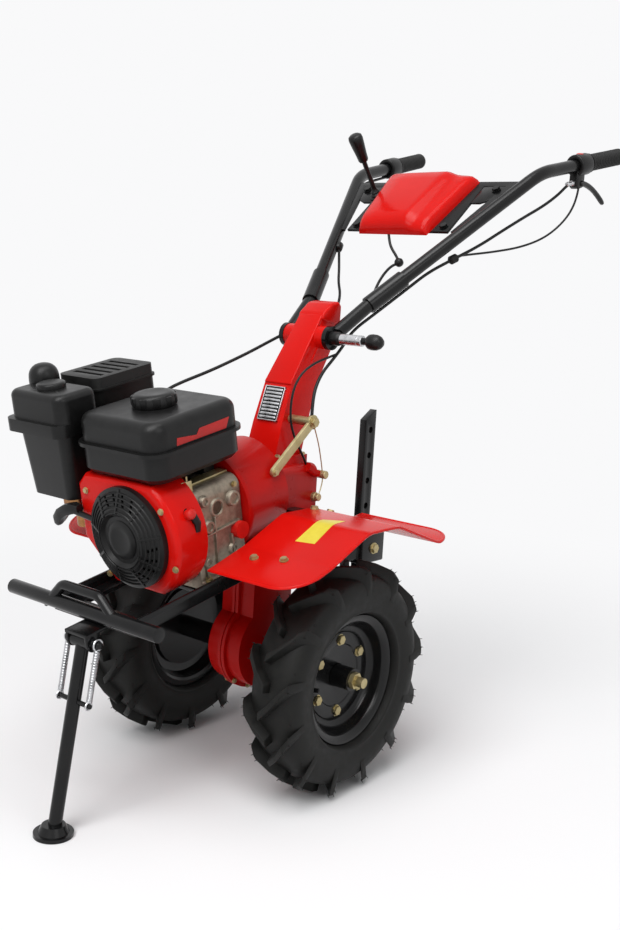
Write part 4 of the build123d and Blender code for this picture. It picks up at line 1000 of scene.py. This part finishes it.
def buildColumnHead():
    low = fromAxle(*headSheet["low"])
    line = fromAxle(*headSheet["high"]) - low
    length = line.length * 1000
    wide, narrow = headSheet["halves"]
    outline = [(-wide, 0), (wide, 0), (narrow, length), (-narrow, length)]
    sheet = slab("sheet", outline, headSheet["sink"], headSheet["stand"], low, leftward, line.normalized())
    forms = [bevelled(sheet, headSheet["edge"], 3)]
    half = headCrown["half"]
    crown = slab("crown", headCrown["outline"], -half, half, fromAxle(0, 0, 0), forward, upward)
    forms.append(bevelled(crown, headCrown["edge"], 4, 20))
    tip, r = headBead["tip"], headBead["half"]
    for side in (1, -1):
        start, end = (fromAxle(x, side * y, z) for x, y, z in (headBead["low"], headBead["high"]))
        spine = [start.lerp(end, share) for share in headBead["shares"]]
        forms.append(sweptBar("bead", spine, [(tip, tip), (r, r), (r, r), (tip, tip)], leftward))
    addPiece("columnHead", joined("columnHead", forms), "chassis", redSlot, (), 40)


buildColumnHead()

# column grille: plated bars set into the black frame
grilleForm = dict(middle=(-12.5, 0, 666), lean=(-0.328, 0, 0.9447), bars=9, pitch=6.5, half=19, height=4.4,
                  levels=(0.5, 5.2), edge=0.9, frame=(23.2, 32.4, 2.0), frameLevels=(0.2, 5.0),
                  frameEdge=0.6)


def buildGrille():
    rise = Vector(grilleForm["lean"])
    centre = fromAxle(*grilleForm["middle"])
    half, h = grilleForm["half"], grilleForm["height"] / 2
    outline = [(-half, -h), (half, -h), (half, h), (-half, h)]
    back, front = grilleForm["levels"]
    bars = []
    for bar in range(grilleForm["bars"]):
        shift = grilleForm["pitch"] * (bar - (grilleForm["bars"] - 1) / 2)
        origin = centre + rise * shift / 1000
        bars.append(bevelled(slab("bar", outline, back, front, origin, leftward, rise), grilleForm["edge"]))
    wide, tall, edge = grilleForm["frame"]
    back, front = grilleForm["frameLevels"]
    for low, high, left, right in ((-tall, edge - tall, -wide, wide), (tall - edge, tall, -wide, wide),
                                   (-tall, tall, -wide, edge - wide), (-tall, tall, wide - edge, wide)):
        outline = [(left, low), (right, low), (right, high), (left, high)]
        side = slab("edge", outline, back, front, centre, leftward, rise)
        bars.append(bevelled(side, grilleForm["frameEdge"]))
    addPiece("grilleBars", joined("grilleBars", bars), "chassis", brightSlot)


buildGrille()

# crankcase face: bosses and ribs, and the governor's rods and plate above it
caseFace = dict(bossBase=79, ribBase=80, ribLevels=(-5, 1), ribEdge=1.2, rodBase=74)
# ahead, up, radius, height
bossTable = ((52, 30, 13, 9), (118, 44, 9, 8), (112, -2, 11, 7), (60, -58, 10, 6), (122, -62, 8, 7),
             (88, 24, 16, 4))
# ahead and up of both ends, thickness
ribTable = ((40, -12, 128, -16, 4), (58, -95, 62, -30, 4), (100, -95, 98, 12, 4), (126, -92, 128, 36, 4))
# ahead, up, length, lean
rodTable = ((136, 58, 46, 0.2), (142, 52, 52, 0.05), (149, 60, 40, -0.12))
rodPlate = dict(side=68, half=1.2, edge=0.8, outline=(
    (126, 50), (160, 44), (164, 64), (150, 84), (128, 82)))


def buildCrankcase():
    ahead = engineAim(1, 0, 0)
    up = engineAim(0, 0, 1)
    forms = []
    for x, z, radius, height in bossTable:
        profile = [(0, radius + 2), (height - 1, radius), (height, radius - 1), (height, radius - 4),
                   (height - 3, radius - 5), (height - 3, 0)]
        forms.append(lathed("boss", profile, onEngine(x, caseFace["bossBase"], z), leftward, 28))
    low, high = caseFace["ribLevels"]
    for x0, z0, x1, z1, thick in ribTable:
        line = Vector((x1 - x0, z1 - z0)).normalized()
        side = Vector((-line.y, line.x)) * thick / 2
        outline = [(x0 + side.x, z0 + side.y), (x1 + side.x, z1 + side.y),
                   (x1 - side.x, z1 - side.y), (x0 - side.x, z0 - side.y)]
        rib = slab("rib", outline, low, high, onEngine(0, caseFace["ribBase"], 0), ahead, up)
        forms.append(bevelled(rib, caseFace["ribEdge"]))
    addPiece("crankcaseFace", joined("crankcaseFace", forms), "chassis", castSlot, (), 35)
    rods = []
    for x, z, length, lean in rodTable:
        profile = [(0, 0), (0, 3.4), (4, 3.4), (4.5, 1.5),
                   (length - 5, 1.5), (length - 4.5, 3.4), (length, 3.4), (length, 0)]
        start = onEngine(x, caseFace["rodBase"], z)
        rods.append(lathed("rod", profile, start, engineAim(lean, 0.1, -1), 14))
    half = rodPlate["half"]
    plate = slab("rodPlate", rodPlate["outline"], -half, half, onEngine(0, rodPlate["side"], 0), ahead, up)
    rods.append(bevelled(plate, rodPlate["edge"]))
    addPiece("governorLinks", joined("governorLinks", rods), "chassis", zincSlot, (), 35)


buildCrankcase()

# hexagon fasteners: where they sit, and their size beside an M8 head
flangeBolts = dict(middle=(12, 222), circle=79.2, face=8.2, angles=(100, 130, 160, 190, 220, 250, 280, 310),
                   size=0.58)
fenderBolts = dict(lift=0.6, places=(
    (-58, 112, 0.9), (-12, 112, 0.9), (184, 148, 0.85), (170, 200, 0.85)))
seatBolts = dict(places=((-56, 41), (14, 41)), level=576.4, size=0.62)
mountBolts = dict(places=(42, 126), side=85, level=-91.6, size=0.8)
bumperBolts = dict(place=(316, 98, -94), size=0.8)
coverBolts = dict(face=208.2, places=((78, 56), (97, -38), (-100, 62), (-66, -80)), size=0.62)
caseBolts = dict(face=80.4, places=((44, 52), (128, 20), (72, -88), (124, -88), (36, -78)), size=0.6)
# clutch rocker's pivot and tip, clamp of the hitch
leftBolts = ((-25, 88.4, 642, 1.15), (72, 88.4, 561, 0.75), (-310, 34.4, 360, 1.3))
consoleBolts = dict(places=((345, 106), (472, 158), (345, -106), (472, -158)), level=5.2, size=1.05)


def chassisBolts():
    engineUp = engineAim(0, 0, 1)
    spots = []
    for angle in flangeBolts["angles"]:
        turn = math.radians(angle)
        x = flangeBolts["middle"][0] + flangeBolts["circle"] * math.cos(turn)
        z = flangeBolts["middle"][1] + flangeBolts["circle"] * math.sin(turn)
        for side in (1, -1):
            spots.append((fromAxle(x, side * flangeBolts["face"], z), leftward * side, flangeBolts["size"]))
    for fender, side in (("left_fender", 1), ("right_fender", -1)):
        for x, y, size in fenderBolts["places"]:
            place, normal = surfaceBelow(fender, x, side * y)
            spots.append((place + normal * (fenderBolts["lift"] / 1000), normal, size))
        for x, y in seatBolts["places"]:
            spots.append((fromAxle(x, side * y, seatBolts["level"]), upward, seatBolts["size"]))
        for x in mountBolts["places"]:
            place = onEngine(x, side * mountBolts["side"], mountBolts["level"])
            spots.append((place, engineUp, mountBolts["size"]))
        x, y, z = bumperBolts["place"]
        spots.append((onEngine(x, side * y, z), leftward * side, bumperBolts["size"]))
    for y, z in coverBolts["places"]:
        spots.append((onEngine(coverBolts["face"], y, z), engineAim(1, 0, 0), coverBolts["size"]))
    for x, z in caseBolts["places"]:
        spots.append((onEngine(x, caseBolts["face"], z), leftward, caseBolts["size"]))
    for x, y, z, size in leftBolts:
        spots.append((fromAxle(x, y, z), leftward, size))
    return spots


addFasteners("chassisBolts", chassisBolts(), "chassis", zincSlot)
consoleScrews = [(onHandle(along, side, consoleBolts["level"]), handleUp, consoleBolts["size"])
                 for along, side in consoleBolts["places"]]
addFasteners("consoleScrews", consoleScrews, "handlebar", blackSlot)

# rolled edge round each fender, from its front inner corner to its back one
rollForm = dict(front=240.2, back=-210.2, frontInner=103, backInner=73, outer=287.2, corner=59.2,
                radius=2.6, sink=1.75, steps=16, cornerSteps=6)


def rollRoute():
    front, back = rollForm["front"], rollForm["back"]
    frontInner, backInner = rollForm["frontInner"], rollForm["backInner"]
    corner = rollForm["corner"]
    ahead = front - corner
    behind = back + corner
    side = rollForm["outer"] - corner
    stepDeg = 90 / rollForm["cornerSteps"]
    turns = [math.radians(stepDeg * step) for step in range(rollForm["cornerSteps"] + 1)]
    route = [(front, frontInner), (front, (frontInner + side) / 2)]
    route += [(ahead + corner * math.cos(turn), side + corner * math.sin(turn)) for turn in turns]
    for step in range(1, rollForm["steps"]):
        route.append((ahead + (behind - ahead) * step / rollForm["steps"], rollForm["outer"]))
    route += [(behind - corner * math.sin(turn), side + corner * math.cos(turn)) for turn in turns]
    return route + [(back, (backInner + side) / 2), (back, backInner)]


def buildRolls():
    sink = upward * (rollForm["sink"] / 1000)
    rolls = []
    for fender, side in (("left_fender", 1), ("right_fender", -1)):
        points = [surfaceBelow(fender, x, side * y)[0] - sink for x, y in rollRoute()]
        rolls.append(cableMesh("roll", points, rollForm["radius"]))
    addPiece("fenderRolls", joined("fenderRolls", rolls), "chassis", redSlot, (), 50)


buildRolls()

# plain stripe along the tank's left side and plain patch laid over the left fender's bend
stripeForm = dict(side=84, levels=(-0.4, 0.5), outline=(
    (165, 152.5), (53, 152), (44, 169), (113, 168), (120, 159), (163, 165)))
patchForm = dict(corners=((46, 178), (24, 209), (116, 218), (120, 180)), steps=14, lift=0.35, thick=0.6)


def buildVinyl():
    outline = [(-u, v) for u, v in stripeForm["outline"]]
    low, high = stripeForm["levels"]
    place = onEngine(0, stripeForm["side"], 0)
    stripe = slab("tankStripe", outline, low, high, place, engineAim(-1, 0, 0), engineAim(0, 0, 1))
    addPiece("tankStripe", stripe, "chassis", ("red_plastic", redVinyl))
    (ax, ay), (bx, by), (cx, cy), (dx, dy) = patchForm["corners"]
    steps = patchForm["steps"]
    lift = upward * (patchForm["lift"] / 1000)
    thick = upward * (patchForm["thick"] / 1000)
    top = []
    for i in range(steps + 1):
        s = i / steps
        for t in (0, 0.5, 1):
            x = (ax * (1 - s) + dx * s) * (1 - t) + (bx * (1 - s) + cx * s) * t
            y = (ay * (1 - s) + dy * s) * (1 - t) + (by * (1 - s) + cy * s) * t
            top.append(surfaceBelow("left_fender", x, y)[0] + lift)
    count = len(top)
    verts = top + [v - thick for v in top]
    faces = []
    for i in range(steps):
        for t in range(2):
            quad = [3 * i + t, 3 * i + t + 1, 3 * i + t + 4, 3 * i + t + 3]
            faces += [quad, [count + v for v in quad]]
        for a, b in ((3 * i, 3 * i + 3), (3 * i + 2, 3 * i + 5)):
            faces.append([a, b, count + b, count + a])
    for a, b in ((0, 1), (1, 2), (3 * steps, 3 * steps + 1), (3 * steps + 1, 3 * steps + 2)):
        faces.append([a, b, count + b, count + a])
    patch = closedMesh("fenderPatch", verts, faces)
    addPiece("fenderPatch", patch, "chassis", ("black_plastic", yellowVinyl))


buildVinyl()

# clutch linkage behind the column: arm on the gear case, adjuster barrel and thin pull wire
linkForm = dict(
    wire=((-24, 90, 636), (-44, 86, 606), (-62, 80, 572), (-76, 75, 543), (-76, 76, 522), (-65, 76, 501)),
    wireRadius=1.1, barrelEnds=((-76, 66, 541), (-76, 82, 541)),
    barrel=((-3, 0), (-3, 6.5), (-2, 7.5), (17, 7.5), (18, 6.5), (18, 0)),
    anchorPlace=(-64, 64, 500), anchor=((0, 8.5), (8, 8.5), (9, 7), (15, 7), (16, 6), (16, 0)),
    arm=((-44, 62, 556), (-58, 66, 546), (-74, 70, 541)), armHalves=((9, 9), (7, 7), (6, 6)))


def buildLinkage():
    wire = cableMesh("pullWire", [fromAxle(*p) for p in linkForm["wire"]], linkForm["wireRadius"], 2)
    low, high = (fromAxle(*p) for p in linkForm["barrelEnds"])
    barrel = lathed("barrel", linkForm["barrel"], low, high - low, 20)
    anchor = lathed("anchor", linkForm["anchor"], fromAxle(*linkForm["anchorPlace"]), leftward, 18)
    addPiece("pullWire", joined("pullWire", [wire, barrel, anchor]), "chassis", zincSlot, (), 40)
    spine = [fromAxle(*p) for p in linkForm["arm"]]
    arm = sweptBar("adjusterArm", spine, linkForm["armHalves"], leftward)
    addPiece("adjusterArm", arm, "chassis", ("red_paint", redCasting))


buildLinkage()

# leads under the console: one with its rubber ball from the hood, one from the clip on the right tube
consoleLead = (
    (-353, -12, 996), (-350, -8, 984), (-344, 2, 965), (-338, 24, 945), (-330, 34, 934), (-322, 20, 926),
    (-312, 8, 905), (-300, 4, 882), (-284, 8, 858), (-240, 15, 829), (-172, 18, 790), (-118, 16, 784))
rightLead = (
    (-330, -117, 962), (-328, -114, 940), (-318, -104, 915), (-300, -90, 890), (-272, -60, 862),
    (-220, -34, 820), (-172, -20, 790), (-118, -16, 784))
leadRadius = 2.8
leadBall = dict(place=(-331, 34, 935), aim=(0.3, 1, -0.2), steps=24, profile=(
    (-9, 0), (-8, 5), (-4, 8.5), (2, 9), (6, 7), (9, 3), (9.5, 0)))
leadClip = dict(place=(-332, -120, 961), aim=(-0.72, -0.34, 0.6), steps=18, profile=(
    (-9, 0), (-9, 7), (-7, 9), (7, 9), (9, 7), (9, 0)))


def buildLeads():
    forms = []
    for route in (consoleLead, rightLead):
        forms.append(cableMesh("lead", [fromAxle(*p) for p in route], leadRadius))
    for form in (leadBall, leadClip):
        place = fromAxle(*form["place"])
        forms.append(lathed("stop", form["profile"], place, Vector(form["aim"]), form["steps"]))
    addPiece("consoleLeads", joined("consoleLeads", forms), "handlebar", plasticSlot, (), 50)


buildLeads()
print("details made")

# pale studio floor and even light, in metres
studio = dict(floorHalf=30.0, floorLevel=-0.0005, floorTone="#f4f4f5", skyTone="#f9f9fa", fade=(0.5, 2.2),
              sunFrom=(0.6, 0.2, 1.0), sunStrength=2.0, sunSoftDeg=40, skyStrength=0.3,
              lampAim=(0, 0, 0.55))
# name, place, size, watts
panels = (("leftPanel", (1.2, 2.8, 2.2), 1.6, 14), ("frontPanel", (3.2, 0.4, 2.4), 1.4, 26),
          ("topPanel", (0.3, 0.3, 3.2), 1.4, 14))


# rays that see the plain white backdrop: the camera's, and those that metal and gloss send on
def backdropRays(tree):
    path = addNode(tree, "ShaderNodeLightPath")
    seen = mathNode(tree, "MAXIMUM", (path, "Is Camera Ray"), (path, "Is Glossy Ray"))
    return mathNode(tree, "MAXIMUM", (seen, "Value"), (path, "Is Transmission Ray"))


def buildFloor():
    half, level = studio["floorHalf"], studio["floorLevel"]
    mesh = bpy.data.meshes.new("studioFloor")
    mesh.from_pydata([(x * half, y * half, level) for x, y in ((-1, -1), (1, -1), (1, 1), (-1, 1))],
                     [], [(0, 1, 2, 3)])
    floor = linked("studioFloor", mesh)
    # white paper sweep: matt near the machine, running into the plain white backdrop with distance
    paper = bpy.data.materials.new("paperFloor")
    paper.use_nodes = True
    tree = paper.node_tree
    tree.nodes.clear()
    out = addNode(tree, "ShaderNodeOutputMaterial")
    spot = addNode(tree, "ShaderNodeTexCoord")
    away = addNode(tree, "ShaderNodeVectorMath", links={0: (spot, "Object")}, operation="LENGTH")
    near, far = studio["fade"]
    fade = addNode(tree, "ShaderNodeMapRange", {"From Min": near, "From Max": far},
                   {"Value": (away, "Value")}, interpolation_type="SMOOTHSTEP")
    seen = backdropRays(tree)
    share = mathNode(tree, "MULTIPLY", (fade, "Result"), (seen, "Value"))
    matt = addNode(tree, "ShaderNodeBsdfDiffuse", {"Color": linear(studio["floorTone"])})
    glow = addNode(tree, "ShaderNodeEmission", {"Color": linear(studio["skyTone"]), "Strength": 1.0})
    both = addNode(tree, "ShaderNodeMixShader", links={
        0: (share, "Value"), 1: (matt, "BSDF"), 2: (glow, "Emission")})
    tree.links.new(both.outputs["Shader"], out.inputs["Surface"])
    mesh.materials.append(paper)


def buildSky():
    world = bpy.data.worlds.new("studioSky")
    bpy.context.scene.world = world
    world.use_nodes = True
    tree = world.node_tree
    tree.nodes.clear()
    out = addNode(tree, "ShaderNodeOutputWorld")
    seen = backdropRays(tree)
    level = addNode(tree, "ShaderNodeMapRange", {"To Min": studio["skyStrength"], "To Max": 1.0},
                    {"Value": (seen, "Value")})
    sky = addNode(tree, "ShaderNodeBackground", {"Color": linear(studio["skyTone"])},
                  {"Strength": (level, "Result")})
    tree.links.new(sky.outputs["Background"], out.inputs["Surface"])


def buildLamps():
    sun = linked("softSun", bpy.data.lights.new("softSun", "SUN"))
    sun.data.energy = studio["sunStrength"]
    sun.data.angle = math.radians(studio["sunSoftDeg"])
    sun.matrix_world = Vector(studio["sunFrom"]).to_track_quat("Z", "Y").to_matrix().to_4x4()
    for name, place, size, watts in panels:
        lamp = linked(name, bpy.data.lights.new(name, "AREA"))
        lamp.data.energy = watts
        lamp.data.size = size
        aim = Vector(studio["lampAim"]) - Vector(place)
        lamp.matrix_world = Matrix.Translation(place) @ aim.to_track_quat("-Z", "Y").to_matrix().to_4x4()


buildFloor()
buildSky()
buildLamps()
bpy.context.scene.view_settings.view_transform = "Standard"
print("studio ready")
